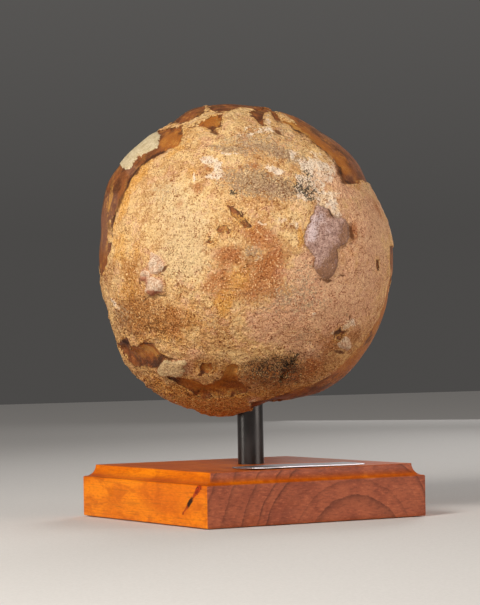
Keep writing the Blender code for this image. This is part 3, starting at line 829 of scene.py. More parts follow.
        (8, 86, 3, 4, -60, 0.6), (20, 84, 5, 2, -40, 0.6), (31, 79, 7, 1.6, -38, 1.0),
        (46, 68.5, 11, 1.8, -45, 0.9), (57, 54, 3, 6, 20, 0.9), (62, 47.5, 5, 2, 0, 0.8),
        (19.5, 77.5, 4, 0.9, -28, 1.1), (51, 29, 5.5, 0.9, -48, 0.9), (59, -10, 3, 0.7, -8, 0.8),
        (49, -12.5, 7, 1.6, -6, 0.8), (64, 17, 1.8, 8, 6, 0.8), (59.5, 7.4, 4, 0.9, 24, 0.7),
        (41, -6, 0.8, 5, 24, 0.6), (56, -45, 4.5, 1.7, 25, 0.95), (58, -57.5, 5, 0.8, -6, 0.7),
        (64, -36, 0.7, 4, -10, 0.9), (-53.5, -22.4, 7, 0.8, 4, 0.75), (-61, -24, 4, 0.8, 42, 0.7),
        (-51.5, -6.8, 5, 0.7, 45, 1.2), (-66, -13, 0.8, 4, 10, 0.8), (-49.5, -15, 0.7, 4, 0, 0.7),
        (80.5, -3, 0.6, 3.2, 0, 0.8), (-20, 78.5, 4, 1.2, -8, 0.9), (-84, 20, 1.6, 8, 10, 0.6),
        (57, -56.5, 4, 0.9, -10, 0.8), (76, -50, 8, 1.2, 56, 0.7), (44, -76, 14, 1.4, 22, 0.7),
        (-8, 28, 5, 1.8, -38, 0.35)),
    # where the edge of the crust breaks up into scraps
    "worn": (
        (54, 52, 8, 9, 0, 1.0), (22, 84, 14, 6, -30, 0.7), (-10, 90, 16, 4, 0, 0.7),
        (-34, 84, 10, 4, 0, 0.7), (40, 74, 12, 4, -40, 0.4), (-30, -74, 12, 5, 0, 0.6),
        (0, -76, 8, 6, 0, 0.9), (-82, 30, 4, 12, 0, 0.7), (64, -62, 10, 6, 40, 0.5),
        (-20, -92, 14, 5, 0, 0.9), (-66, 60, 8, 4, 45, 0.5)),
    "scab_brown": (
        (60, 17, 4, 9, -10, 1.0), (55, 4, 5, 6, 0, 0.8), (49, -8, 7, 7, 0, 1.2),
        (52, -3, 2, 8, 0, 0.5), (51, 28, 5, 3, -45, 0.9), (38, 4, 4, 5, 0, 0.5),
        (45, -9, 4, 4, 0, 0.6)),
    # a painted highlight: the glossy sheen on the scab, brightest at its upper left
    "scab_light": (
        (40, 16, 3.5, 7, 0, 1.0), (44, 26, 6, 4, 20, 0.6), (50, 18, 5, 6, 0, 0.4),
        (45, -2, 3, 4, 0, 0.4)),
}


# each point reads the chart a little off its true place, so that no stain has a drawn edge
waver = [layered((0.9, 3.6, seed), (0.5, 1.9, seed + 1)) for seed in (51, 53)]
wavering_chart = chart + np.column_stack(waver)


def stain(blots):
    """Sum of strength * exp(-reach^2) over ellipses on the chart, at most 1.3."""
    total = np.zeros(len(chart))
    for right, up, half_right, half_up, turn, strength in blots:
        away = wavering_chart - (right, up)
        turn = math.radians(turn)
        along = away @ (math.cos(turn), math.sin(turn))
        across = away @ (-math.sin(turn), math.cos(turn))
        total += strength * np.exp(-((along / half_right) ** 2 + (across / half_up) ** 2))
    return np.minimum(total, 1.3)


masks = {name: stain(blots) for name, blots in STAINS.items()}
# how high the slow noise must be for each stain to show behind
STAIN_LEVELS = {"golden": 0.2, "rust": 0.3, "grey": 0.35, "chalk": 0.4, "earth": 0.1,
                "amber": 0.0, "pink": 0.2}
for seed, (name, level) in enumerate(STAIN_LEVELS.items()):
    spread = layered((1.0, 30.0, 60 + seed), (0.5, 12.0, 70 + seed))
    masks[name] = masks[name] + behind * smooth_step(spread, level, level + 0.5)
masks["coarse"] = masks["coarse"] + 0.5 * behind
masks["worn"] = masks["worn"] + 0.6 * past_rim
masks["mauve"] = masks["mauve"] * (1.0 - past_rim)
# how far each point faces down, which sets the painted shade on the underside
masks["under"] = smooth_step(-directions[:, 1], 0.05, 0.80)
print("stains:", ", ".join(masks))

# %% [markdown]
# ## The broken neck
#
# Behind the ball the smooth joint surface stops at a step, and the neck is torn off: a rough
# plane of spongy bone inside a rim of dense bone. The cut is a plane's distance divided by
# how squarely each direction faces it. A soft minimum, -k log(exp(-a/k) + exp(-b/k)), joins
# it to the ball without a seam.

# %% Neck and torn face
BREAK_NORMAL = np.array([-0.30, -0.42, -0.86])
BREAK_NORMAL /= np.linalg.norm(BREAK_NORMAL)
BREAK_DISTANCE = 62.0
BREAK_ROUND = 4.0                       # how softly the plane meets the ball
BREAK_RELIEF = 5.0
LEAST_FACING = 0.2                      # directions that face the plane less aren't cut
NECK_ANGLE = math.radians(62.0)
NECK_STEP = 3.0
facing = directions @ BREAK_NORMAL
to_break = np.arccos(np.clip(facing, -1.0, 1.0)) * BALL_RADIUS
neck = NECK_ANGLE * BALL_RADIUS + 2.5 * ragged - to_break
neck_share = smooth_step(neck, 0.0, 4.0)
radius -= neck_share * (NECK_STEP + layered((0.9, 6.0, 21)))

torn_plane = BREAK_DISTANCE + BREAK_RELIEF * layered(
    (0.6, 26.0, 31), (0.3, 9.0, 32), (0.2, 5.0, 33))
cut = torn_plane / np.maximum(facing, LEAST_FACING)
torn = np.where(facing > LEAST_FACING, radius - cut, -FAR)
radius = -BREAK_ROUND * np.log(np.exp(-radius / BREAK_ROUND) + np.exp(-cut / BREAK_ROUND))
torn = np.clip(torn + ragged, -FAR, FAR)
print("torn share of the ball:", (torn > 0).mean().round(3))

# %% [markdown]
# ## Fine relief and the mesh
#
# The crust is sandy and unevenly worn, with coarse pores at lower left and in the neck. The
# bare bone is smooth, with only slow dents. So the last relief is weighted by the masks. The
# masks themselves go onto the points as named numbers, and the finish reads them there.

# %% Build the bone
COARSE_PORE, COARSE_DEPTH = 2.6, 0.8    # spacing and depth of the pores
TORN_PORE, TORN_DEPTH = 4.2, 1.4
# how rough the tops of the raised places are
ROUGH_TOPS = {"scab": 0.34, "lower_flake": 0.12, "left_flake": 0.10, "lumps": 0.55}
on_crust = 1.0 - smooth_step(bare, -0.4, 0.8)
grit = layered((0.30, 5.0, 81), (0.24, 2.6, 82), (0.14, 1.6, 83))
radius += on_crust * (1.0 + 1.3 * masks["coarse"]) * grit + layered((0.22, 9.0, 84))
radius += 0.9 * np.minimum(masks["ochre"], 1.0) * grit     # crumbs left on the bare bone
pores = smooth_step(0.42 - pore_distance(ball_points, COARSE_PORE, 91), 0.0, 0.3)
radius -= COARSE_DEPTH * pores * on_crust * smooth_step(masks["coarse"], 0.35, 1.0)
torn_share = smooth_step(torn, 0.0, 4.0)
sponge = smooth_step(0.50 - pore_distance(ball_points, TORN_PORE, 92), 0.0, 0.35)
radius -= TORN_DEPTH * sponge * torn_share


def any_of(*names):
    """The greatest of several raised places' edge distances, so inside any is above zero."""
    return np.maximum.reduce([raised[name] for name in names])


raised["lumps"] = any_of("upper_lump", "middle_lump", "lower_lump", "pale_lump")
rough_top = layered((1.0, 3.6, 95), (0.6, 1.9, 96))
for name, height in ROUGH_TOPS.items():
    radius += height * smooth_step(raised[name], 0.0, 1.0) * rough_top


def mesh_object(name, points_mm, faces, smooth_angle=180.0):
    """A mesh object at the origin from points in millimetres and its faces."""
    mesh = bpy.data.meshes.new(name)
    corners = [list(map(int, face)) for face in faces]
    mesh.from_pydata((np.asarray(points_mm) * MM).tolist(), [], corners)
    mesh.shade_smooth()
    if smooth_angle < 180.0:
        mesh.set_sharp_from_angle(angle=math.radians(smooth_angle))
    obj = bpy.data.objects.new(name, mesh)
    bpy.context.scene.collection.objects.link(obj)
    return obj


def store_mask(obj, name, values):
    """Keep one number for each point on the mesh, under a name."""
    layer = obj.data.attributes.new(name, "FLOAT", "POINT")
    layer.data.foreach_set("value", np.asarray(values, np.float32))


bone_points = np.array(BALL_CENTRE) + (directions * radius[:, None]) @ BALL_AXES
bone_low, bone_high = (np.array(corner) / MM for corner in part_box("femur_head"))
bone_points = np.clip(bone_points, bone_low, bone_high)
bone = mesh_object("fossil_femur_head", bone_points, ball_faces)
from_rod = np.hypot(bone_points[:, 0], bone_points[:, 1])
# glue shows where the rod goes in: below 76 to 68 mm up and 8.5 to 13 mm from the axis
low_down = smooth_step(bone_points[:, 2], 76.0, 68.0)
masks["glue"] = low_down * (1.0 - smooth_step(from_rod, 8.5, 13.0))
masks.update(bare=bare, torn=torn, neck=neck, scab=raised["scab"], lumps=raised["lumps"],
             flake=any_of("left_flake", "lower_flake"))
for name, values in masks.items():
    store_mask(bone, name, values)
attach(bone, "root")
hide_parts("femur_head")
print("bone spans", (bone_points.max(axis=0) - bone_points.min(axis=0)).round(1), "mm")

# %% [markdown]
# ## The finish of the fossil bone
#
# Crust and bare bone differ in everything: the crust is pale, sandy and dull, the bone under
# it dark, smooth and glossy. So each gets its own colours, and the stored distance to the
# crust's edge chooses between them, with a little fine noise so that the line is crisp and
# crumbly at once. Grain and pits are far smaller than the mesh's cells and come from a bump,
# with painted shade in the pits and between grains and painted highlights on bright grains.

# %% Bone colours and noises
SAND = paints(
    light=(230, 192, 134), mid=(212, 165, 108), dark=(176, 120, 66), washed=(226, 196, 146),
    dull=(200, 156, 98), grain=(158, 112, 70), glint=(250, 220, 170), knob=(226, 178, 116),
    pore=(96, 56, 26), moat=(132, 84, 44), damp=(204, 178, 134))
STAIN = paints(
    cream=(222, 196, 150), golden=(218, 156, 66), pink=(214, 164, 134), earth=(164, 106, 52),
    rust=(172, 101, 50), grey=(154, 129, 104), soot=(84, 58, 38), specks=(50, 38, 30),
    chalk=(236, 220, 200), pink_chalk=(226, 192, 162), ochre=(196, 142, 70), gap=(96, 54, 26))
BROWN = paints(dark=(88, 46, 20), mid=(140, 80, 38), amber=(172, 102, 34), mauve=(126, 84, 66),
               gap=(66, 34, 16))
SCAB = paints(
    dull=(160, 126, 114), pink=(196, 162, 148), lilac=(214, 196, 198), crumb=(206, 180, 168),
    brown=(136, 94, 62), speck=(212, 180, 164), shade=(112, 74, 56), grain=(104, 70, 56))
FLAKE = paints(mid=(202, 184, 144), light=(224, 208, 174), grain=(164, 134, 100),
               shade=(140, 112, 84), tan=(208, 168, 122))
LUMP = paints(mid=(204, 162, 130), light=(228, 202, 174), red=(158, 92, 62),
              grain=(130, 86, 60))
NECK = paints(dark=(130, 82, 42), light=(196, 150, 100), sponge=(204, 158, 108),
              stain=(150, 96, 52), glue=(196, 192, 184))

skin = Finish("fossil bone")
grain = skin.noise(0.8, detail=1.0, rough=0.6)
speckle = skin.noise(1.5, rough=0.7)
lumps = skin.noise(2.2, rough=0.5)
mottle = skin.noise(3.6, detail=3.0, rough=0.6)
blotch = skin.noise(8.0, detail=3.0, rough=0.6)
cloud = skin.noise(26.0, detail=3.0)
scales = skin.noise(11.0, detail=5.0, rough=0.65, warp=1.2)
scraps = skin.noise(6.3, detail=5.0, rough=0.70, warp=1.0)
streaks = skin.noise(9.0, detail=4.0, rough=0.6, warp=0.6,
                     place=skin.stretch((1.0, 1.0, 0.45), (0.4, 0.2, 0.0)))
sponge_cells = skin.cells(2.0)


def mix_noises(*shares_and_noises):
    """A weighted sum of noises, about its middle so that it runs from about -1 to 1."""
    return sum((noise - 0.5) * (4.0 * share) for share, noise in shares_and_noises)


islands = mix_noises((0.45, blotch), (0.40, mottle), (0.15, grain))
crumbly = mix_noises((0.35, mottle), (0.35, speckle), (0.30, grain))
flecked = mix_noises((0.20, mottle), (0.25, speckle), (0.55, grain))
spotted = mix_noises((0.25, mottle), (0.65, speckle), (0.10, grain))
print("named colours:", sum(map(len, (SAND, STAIN, BROWN, SCAB, FLAKE, LUMP, NECK))))

# %% Where each kind of surface shows
def patchy(name, texture, spread, strength=1.0, low=0.30, high=0.75):
    """A stain's share: its soft mask broken up by a texture, then made steeper."""
    mask = skin.mask(name)
    return (mask + texture * mask.ramp(0.0, 0.4, 0.0, spread)).ramp(low, high, 0.0, strength)


# near its edge the crust breaks into crumbs and holes, most where it is worn
near_edge = abs(skin.mask("bare")).ramp(1.0, 5.0, 1.0, 0.0)
loose = near_edge * (skin.mask("worn") + 0.35)
crumbs = loose * mottle.ramp(0.56, 0.64, 0.0, 4.5)
holes = loose * mottle.ramp(0.36, 0.44, 4.0, 0.0)
crumble = crumbly * 0.6
small_crumble = crumble * 1.2
bare_line = skin.mask("bare") + crumble + (holes - crumbs)
bare_share = bare_line.ramp(-0.2, 0.2)
crust_share = 1.0 - bare_share
torn_shade = (skin.mask("torn") + crumble).ramp(-0.4, 1.0)
neck_shade = skin.mask("neck").ramp(0.0, 1.6)
scab_shade = (skin.mask("scab") + small_crumble * 1.7).ramp(-0.25, 0.45)
flake_shade = (skin.mask("flake") + small_crumble).ramp(-0.15, 0.25)
lump_shade = (skin.mask("lumps") + small_crumble).ramp(-0.2, 0.35)
# the gap stain's share: dark gaps, and painted shadow under edges and lumps
gap_share = patchy("gap", crumbly, 0.6, 0.9, 0.35, 0.75)
print("nodes for the shares:", len(skin.tree.nodes))

# %% The sandy crust
def stain_coat(name, *how):
    """The coat of one stain, in its own colour."""
    return patchy(name, *how), STAIN[name]


chalk = skin.coats(
    skin.blend(scraps.ramp(0.40, 0.50), STAIN["pink_chalk"], STAIN["chalk"]),
    (scales.ramp(0.50, 0.60, 0.0, 0.5), SAND["light"]))
coarse = skin.mask("coarse")
# the grain shows strongly where the crust is worn and hardly at all where it is polished
worn_grain = (blotch.ramp(0.36, 0.62, 0.5, 1.0) + coarse * 0.3).clamped()
crust = skin.coats(
    skin.blend(cloud.ramp(0.35, 0.65), SAND["mid"], SAND["light"]),
    (scales.ramp(0.49, 0.58, 0.0, 0.55), SAND["dark"]),
    (scales.ramp(0.38, 0.45, 0.5, 0.0), SAND["washed"]),
    (scraps.ramp(0.52, 0.60, 0.0, 0.45), STAIN["pink"]),
    (scraps.ramp(0.38, 0.46, 0.45, 0.0), SAND["dull"]),
    # cream stain, and a painted highlight on the upper left
    stain_coat("cream", crumbly, 0.5, 0.6),
    # golden stain, and painted warm light on the left side
    stain_coat("golden", islands, 0.5, 0.7),
    # pink stain, and a painted shade tint on the right
    stain_coat("pink", islands, 0.5, 0.7),
    # earth stain, and painted shade low down
    stain_coat("earth", islands, 0.6, 0.8),
    stain_coat("rust", crumbly, 0.9, 0.75),
    stain_coat("grey", spotted, 1.2, 0.75),
    stain_coat("soot", spotted, 1.6, 0.9, 0.52, 0.74),
    (patchy("chalk", islands, 0.9, 0.85, 0.40, 0.65), chalk),
    stain_coat("specks", spotted, 1.6, 0.92, 0.93, 1.02),
    # the crust's own edge: a patchy golden stain, and a pale rim, partly paler broken crust and
    # partly a painted highlight where the edge catches the light
    (bare_line.ramp(-4.0, -0.5, 0.0, 0.5) * islands.ramp(-0.5, 0.4), STAIN["golden"]),
    (bare_line.ramp(-1.0, -0.3, 0.0, 0.4), SAND["light"]),
    # single grains, dark and bright: the dark partly the sand's colour and partly painted shade
    # between grains, the bright painted glints; then painted highlights on knobs and painted shade
    # in clefts where the crust is coarse
    (flecked.ramp(-0.5, 0.05, 1.0, 0.0) * worn_grain, SAND["grain"], "MULTIPLY"),
    (flecked.ramp(-0.75, -0.35, 0.55, 0.0) * worn_grain, STAIN["gap"]),
    (flecked.ramp(0.18, 0.6, 0.0, 0.7), SAND["glint"]),
    ((crumbly.ramp(0.15, 0.5, 0.0, 0.7) * coarse).clamped(), SAND["knob"]),
    ((crumbly.ramp(-0.5, -0.15, 0.6, 0.0) * coarse).clamped(), STAIN["gap"]),
    (gap_share, STAIN["gap"]))
print("nodes with the crust:", len(skin.tree.nodes))

# %% Pits in the crust
PIT_SPACING = 1.5                      # millimetres between the pits
# how dark the painted shade in the pits is
PIT_DARKNESS = 0.46
pit_size = mottle.ramp(0.35, 0.75, 0.02, 0.20) + coarse * 0.20
pits = (pit_size - skin.cells(PIT_SPACING)).ramp(-0.06, 0.08)
# painted shade in the pits: each pit is darkened towards the pore colour, as shade inside it
crust = skin.blend(pits * PIT_DARKNESS, crust, SAND["pore"])
print("pits about", PIT_SPACING, "mm apart")

# %% The smooth bone
bone_brown = skin.coats(
    skin.blend(streaks.ramp(0.36, 0.62), BROWN["dark"], BROWN["mid"]),
    (patchy("amber", islands, 0.6, 0.85), BROWN["amber"]),
    (patchy("mauve", islands, 0.5, 0.8), BROWN["mauve"]),
    (islands.ramp(0.0, 0.6, 0.0, 0.4), STAIN["golden"]),
    (flecked.ramp(0.1, 0.7, 0.0, 0.5), SAND["dark"]),
    (flecked.ramp(-0.7, -0.1, 0.5, 0.0), BROWN["dark"]),
    # ochre crumbs, and painted highlights in the hollow and on the bottom pit
    stain_coat("ochre", crumbly, 0.8, 0.8),
    (gap_share, BROWN["gap"]),
    # painted shadow along the foot of the crust's broken edge, broken up by noise
    (bare_line.ramp(0.0, 1.0, 0.4, 0.0) * mottle.ramp(0.4, 0.6), BROWN["gap"]))
print("nodes with the smooth bone:", len(skin.tree.nodes))

# %% Scab, flakes, lumps and torn bone
scab_paint = skin.coats(
    skin.blend(mottle.ramp(0.35, 0.65), SCAB["dull"], SCAB["pink"]),
    # painted highlight on the scab
    (patchy("scab_light", crumbly, 0.6, 0.7), SCAB["lilac"]),
    (crumbly.ramp(0.2, 0.7, 0.0, 0.6), SCAB["crumb"]),
    (patchy("scab_brown", spotted, 1.0, 0.9, 0.25, 0.85), SCAB["brown"]),
    (spotted.ramp(0.20, 0.65, 0.0, 0.55), SCAB["speck"]),
    (spotted.ramp(-0.65, -0.20, 0.55, 0.0), SCAB["shade"]),
    (grain.ramp(0.34, 0.5, 0.75, 0.0), SCAB["grain"]),
    (gap_share, BROWN["gap"]))
flake_paint = skin.coats(
    skin.blend(mottle.ramp(0.35, 0.7), FLAKE["mid"], FLAKE["light"]),
    (grain.ramp(0.34, 0.54, 0.6, 0.0), FLAKE["grain"]),
    (crumbly.ramp(-0.8, -0.3, 0.6, 0.0), FLAKE["shade"]),
    (patchy("pink", crumbly, 0.4, 0.45), FLAKE["tan"]))
lump_paint = skin.coats(
    skin.blend(crumbly.ramp(-0.3, 0.3), LUMP["mid"], LUMP["light"]),
    # red on the lumps, and painted shadow under the pale lump
    (patchy("lump_red", crumbly, 0.7, 0.9), LUMP["red"]),
    (grain.ramp(0.34, 0.5, 0.45, 0.0), LUMP["grain"]))
torn_paint = skin.coats(
    skin.blend(sponge_cells.ramp(0.14, 0.42), SAND["pore"], NECK["sponge"]),
    (cloud.ramp(0.4, 0.65, 0.0, 0.6), NECK["stain"]))
neck_paint = skin.blend(streaks.ramp(0.35, 0.65), NECK["dark"], NECK["light"])
print("nodes with the small places:", len(skin.tree.nodes))

# %% Put the bone's finish together
# a brown moat round the scab, where the crust has shrunk from it
moat = abs(skin.mask("scab") + 0.5).ramp(0.2, 1.1, 0.7, 0.0) * islands.ramp(-0.1, 0.4)
colour = skin.coats(
    skin.blend(bare_share, crust, bone_brown),
    (moat * crust_share, SAND["moat"]),
    (scab_shade, scab_paint),
    (flake_shade, flake_paint),
    (lump_shade, lump_paint),
    (neck_shade, neck_paint),
    (torn_shade, torn_paint),
    # painted shade: the underside is a little darker, the more so the further it faces down
    (skin.mask("under") * 0.5, SAND["damp"], "MULTIPLY"),
    ((skin.mask("glue") + crumbly).ramp(0.6, 1.2, 0.0, 0.8), NECK["glue"]))

# dull on the sand, glossy on bare bone and glossiest on the scab
gloss = bare_share * (1.0 - torn_shade)
roughness = (gloss.ramp(0.0, 1.0, 0.85, 0.5) - scab_shade * 0.4 + mottle * 0.08).clamped()

# heights of the finest relief, in millimetres
sandy = crust_share * (1.0 - scab_shade)
height = ((grain * 0.35 + lumps * 2.1) * sandy - pits * sandy * 0.5 + crust_share * 0.5
          + streaks * 0.15 + speckle * 0.85
          + sponge_cells.ramp(0.1, 0.45) * torn_shade * 0.7)
bone.data.materials.append(skin.surface(
    Base_Color=colour, Roughness=roughness, Specular_IOR_Level=0.25,
    Normal=skin.relief(height, 1.0)))
print("bone finish nodes:", len(skin.tree.nodes))

# %% [markdown]
# ## The wooden base
#
# The base is a square block with a cove, a hollow moulding, cut round its top edge. Its
# surface is one sheet: an edge profile runs from the middle of the underside, up the side
# and the cove, to the middle of the top, and it is carried round a square whose corners are
# just eased. Carrying a profile round keeps every edge true and leaves fine cells for dents.

# %% Profile carried round a rounded square
base_low, base_high = (np.array(corner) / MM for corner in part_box("wooden_base"))
BASE_SIDE = base_high[0] - base_low[0]
BASE_HEIGHT = base_high[2] - base_low[2]
CORNER_RADIUS = 0.8
COVE_HEIGHT = 7.8
COVE_INSET = 5.8
FILLET = 0.8
EDGE_WEAR = 0.25
CHIP_PLACE = (-46.8, -76.2, 1.2)
CHIP_SIZE, CHIP_DEPTH = 2.4, 1.1


def rounded_square(side, corner, per_side, per_corner):
    """Points round a level square: straight sides with a quarter circle between."""
    rows = []
    for quarter, (sx, sy) in enumerate(((1, 1), (-1, 1), (-1, -1), (1, -1))):
        turn = np.linspace(90 * quarter, 90 * (quarter + 1), per_corner + 1)
        turn = np.radians(turn)
        middle = (side / 2 - corner) * np.array([sx, sy])
        arc = middle + corner * np.column_stack([np.cos(turn), np.sin(turn)])
        rows.append(arc)
    around = []
    for k, arc in enumerate(rows):
        share = np.linspace(0.0, 1.0, per_side + 2)[1:-1, None]
        around += [arc, arc[-1] + (rows[(k + 1) % 4][0] - arc[-1]) * share]
    return np.concatenate(around)


def closed_rings(rings, foot, head):
    """Points and faces of equal rings stacked on the axis, closed by a point at each end.

    The foot is point 0, then come the rings in turn; each pair of rings is joined by
    four-sided faces and the end points by triangles.
    """
    n = len(rings[0])
    points = np.concatenate([[[0, 0, foot]], *rings, [[0, 0, head]]])
    k = np.arange(n)
    nxt = (k + 1) % n
    faces = [np.column_stack([np.zeros(n, int), 1 + nxt, 1 + k])]
    for row in range(len(rings) - 1):
        low, up = 1 + row * n, 1 + (row + 1) * n
        faces.append(np.column_stack([low + k, low + nxt, up + nxt, up + k]))
    last = 1 + (len(rings) - 1) * n
    faces.append(np.column_stack([last + k, last + nxt, np.full(n, len(points) - 1)]))
    return points, [face for part in faces for face in part]


def carried_round(side, corner, profile, per_side, per_corner):
    """Points and faces of a closed square block: its (inset, height) profile carried round.

    Ring k is the rounded square drawn in by inset k, its corners' radius shrinking with it.
    """
    rings = []
    for inset, height in profile[1:-1]:
        share = max(1.0 - 2 * inset / side, 0.05)
        around = rounded_square(side - 2 * inset, corner * share, per_side, per_corner)
        rings.append(np.column_stack([around, np.full(len(around), height)]))
    return closed_rings(rings, profile[0][1], profile[-1][1])


def base_profile():
    """Inset and height from the middle of the underside to the middle of the top."""
    lip = BASE_HEIGHT - COVE_HEIGHT
    half = BASE_SIDE / 2
    quarter = np.radians(np.linspace(0.0, 90.0, 13))
    rows = [(half, 0.0)] + [(inset, 0.0) for inset in np.linspace(half - 6, 0.6, 8)]
    rows += [(0.18, 0.18), (0.0, 0.6)]
    rows += [(0.0, height) for height in np.linspace(2.5, lip - 0.4, 12)]
    rows += [(FILLET * (1 - math.cos(t)), lip + FILLET * math.sin(t)) for t in quarter[::3]]
    cove_in, cove_up = COVE_INSET - FILLET, COVE_HEIGHT - FILLET
    rows += [(COVE_INSET - cove_in * (1 - math.cos(t)), BASE_HEIGHT - cove_up * math.sin(t))
             for t in quarter[-2:0:-1]]
    rows += [(COVE_INSET, BASE_HEIGHT - 0.25), (COVE_INSET + 0.25, BASE_HEIGHT)]
    rows += [(inset, BASE_HEIGHT) for inset in np.linspace(COVE_INSET + 2, half - 1.5, 22)]
    return rows + [(half, BASE_HEIGHT)]


points, faces = carried_round(BASE_SIDE, CORNER_RADIUS, base_profile(), 76, 4)
# the sides are worn back a little here and there, and one lower edge has a chip
edge_wear = smooth_step(lumpy(points, 9.0, 111), 0.35, 0.9) * EDGE_WEAR
outer = np.maximum(np.abs(points[:, 0]), np.abs(points[:, 1]))
on_side = smooth_step(outer, BASE_SIDE / 2 - 1.0, BASE_SIDE / 2 - 0.2)
points[:, :2] *= (1.0 - on_side * edge_wear / outer.max())[:, None]
from_chip = np.linalg.norm((points - CHIP_PLACE) * (0.55, 1.0, 1.0), axis=1)
points[:, 1] += CHIP_DEPTH * np.exp(-(from_chip / CHIP_SIZE) ** 2)
base = mesh_object("wooden_block", points, faces, smooth_angle=28.0)
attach(base, "root")
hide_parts("wooden_base")
print("base:", len(points), "points", BASE_SIDE.round(1), "mm square")

# %% [markdown]
# ## The finish of the wood
#
# Wood is solid, so its pattern has to run through the block: rings round a pith that lies
# just under the board, along Y. The same rings then come out as arches on the end grain at
# the front and as long lines on the left side and the top, as on a real board. A varnish
# gives the gloss.

# %% Growth rings in the wood
PITH = (25.0, -22.0)                    # where the tree's heart runs, in X and Z
GROWTH_REACH = 120.0
# radius of each year's dark line and how dark it is
GROWTH_LINES = (
    (14, 0.5), (25, 0.4), (37, 0.9), (42, 0.3), (46, 0.75), (57, 0.5), (61, 0.3), (65, 1.0),
    (67.5, 0.5), (71, 1.0), (76, 0.3), (81.5, 0.9), (87, 0.4), (94, 0.85), (100, 0.4),
    (106, 0.85))
LINE_FADE = 0.6
RING_SHIFT = 5.8                        # takes out the average of the three noises

wood = Finish("varnished cherry wood")
place_x, place_y, place_z = wood.parts(wood.place)


def along_board(size, run, **how):
    """Noise drawn out along the board, 1 / run times as long as it is wide."""
    return wood.noise(size, place=wood.stretch((1.0, run, 1.0)), **how)


off_x, off_z = place_x - PITH[0] * MM, place_z - PITH[1] * MM
from_pith = wood.calc("SQRT", off_x * off_x + off_z * off_z)
growth = (from_pith * (1.0 / MM) + along_board(48.0, 0.12, detail=1.0) * 8.0
          + along_board(9.0, 0.10, detail=3.0) * 2.4 + along_board(3.0, 0.10) * 1.2 - RING_SHIFT)
line_stops = []
for line, darkness in GROWTH_LINES:
    line_stops += [(line / GROWTH_REACH, darkness), ((line + LINE_FADE) / GROWTH_REACH, 0.0)]
late_wood = wood.steps(growth / GROWTH_REACH, line_stops)
# a thin dark line, broken here and there, at the end of each year's slow darkening
broken = along_board(4.0, 0.10).ramp(0.36, 0.56, 0.45, 1.0)
late_wood = wood.calc("POWER", late_wood, 5.0) * broken + late_wood * 0.40
print("dark rings:", len(GROWTH_LINES))

# %% Wood colours
CHERRY = paints(
    side=(216, 108, 2), side_light=(238, 134, 5), side_line=(150, 62, 8), side_cloud=(196, 92, 2),
    side_dark_fleck=(170, 78, 4), side_bright_fleck=(255, 158, 30),
    end=(142, 72, 48), end_light=(166, 90, 60), end_bright_fleck=(196, 112, 76),
    end_dark_fleck=(104, 52, 36), end_line=(78, 40, 28),
    top=(200, 176, 150), fibre=(110, 50, 22), vessel=(84, 38, 20),
    gum_edge_dark=(84, 16, 4), gum_edge=(170, 50, 6), gum=(34, 12, 8))
fibre = along_board(0.8, 0.03, detail=3.0, rough=0.65)
vessels = wood.cells(1.1, place=wood.stretch((1.0, 0.06, 1.0)))
figure = along_board(20.0, 0.22, detail=4.0, rough=0.6, warp=0.6)
side_clouds = along_board(11.0, 0.4, detail=4.0, warp=1.2)
ray_flecks = wood.noise(1.1, detail=3.0, rough=0.6, place=wood.stretch((0.30, 0.30, 1.0)))
facing = wood.parts(wood.add("ShaderNodeNewGeometry").outputs["Normal"])
end_grain = abs(facing[1]).ramp(0.50, 0.97)

# the long-grain sides take a bright orange, partly the cherry's own colour and partly painted
# light from the lamp on the left; the end grain takes a dark red-brown, partly its own colour and
# partly painted shade; the lower cove, facing partly up, gets the bright side colour
side_paint = wood.coats(
    wood.blend(figure.ramp(0.35, 0.65), CHERRY["side"], CHERRY["side_light"]),
    (late_wood * 0.3, CHERRY["side_line"]),
    (side_clouds.ramp(0.38, 0.56, 0.75, 0.0), CHERRY["side_cloud"]),
    (ray_flecks.ramp(0.34, 0.48, 0.25, 0.0), CHERRY["side_dark_fleck"]),
    (ray_flecks.ramp(0.54, 0.68, 0.0, 0.2), CHERRY["side_bright_fleck"]))
end_paint = wood.coats(
    wood.blend(figure.ramp(0.35, 0.65), CHERRY["end"], CHERRY["end_light"]),
    (ray_flecks.ramp(0.54, 0.68, 0.0, 0.45), CHERRY["end_bright_fleck"]),
    (ray_flecks.ramp(0.34, 0.48, 0.45, 0.0), CHERRY["end_dark_fleck"]),
    ((late_wood * 0.85).clamped(), CHERRY["end_line"]))
grain_paint = wood.coats(
    wood.blend(end_grain, side_paint, end_paint),
    # painted shade: faces that point up are darkened
    (facing[2].ramp(0.2, 0.9, 0.0, 0.8), CHERRY["top"], "MULTIPLY"),
    (fibre.ramp(0.30, 0.50, 0.30, 0.0), CHERRY["fibre"]),
    (vessels.ramp(0.05, 0.16, 0.35, 0.0), CHERRY["vessel"]))
print("wood colours:", len(CHERRY))

# %% The gum streak on the left side
STREAK_FOOT = (-47.4, 6.5)              # Y and Z where the dark gum streak ends
STREAK_HEAD = (-69.8, 24.9)
STREAK_WIDTH = 2.6                      # millimetres, times the shares below
STREAK_SHARES = ((0.0, 0.25), (0.30, 0.45), (0.55, 0.25), (0.68, 0.5), (0.78, 0.85),
                 (0.95, 0.9), (1.0, 0.5))
STREAK_DARKEST = 0.42                   # share of the way up
streak_run = np.subtract(STREAK_HEAD, STREAK_FOOT)
streak_length = float(np.hypot(*streak_run))
run_y, run_z = map(float, streak_run / streak_length)


def from_foot(y_share, z_share):
    """Millimetres from the streak's foot, in a direction on the block's left side."""
    offset = y_share * STREAK_FOOT[0] + z_share * STREAK_FOOT[1]
    return place_y * (y_share / MM) + place_z * (z_share / MM) - offset


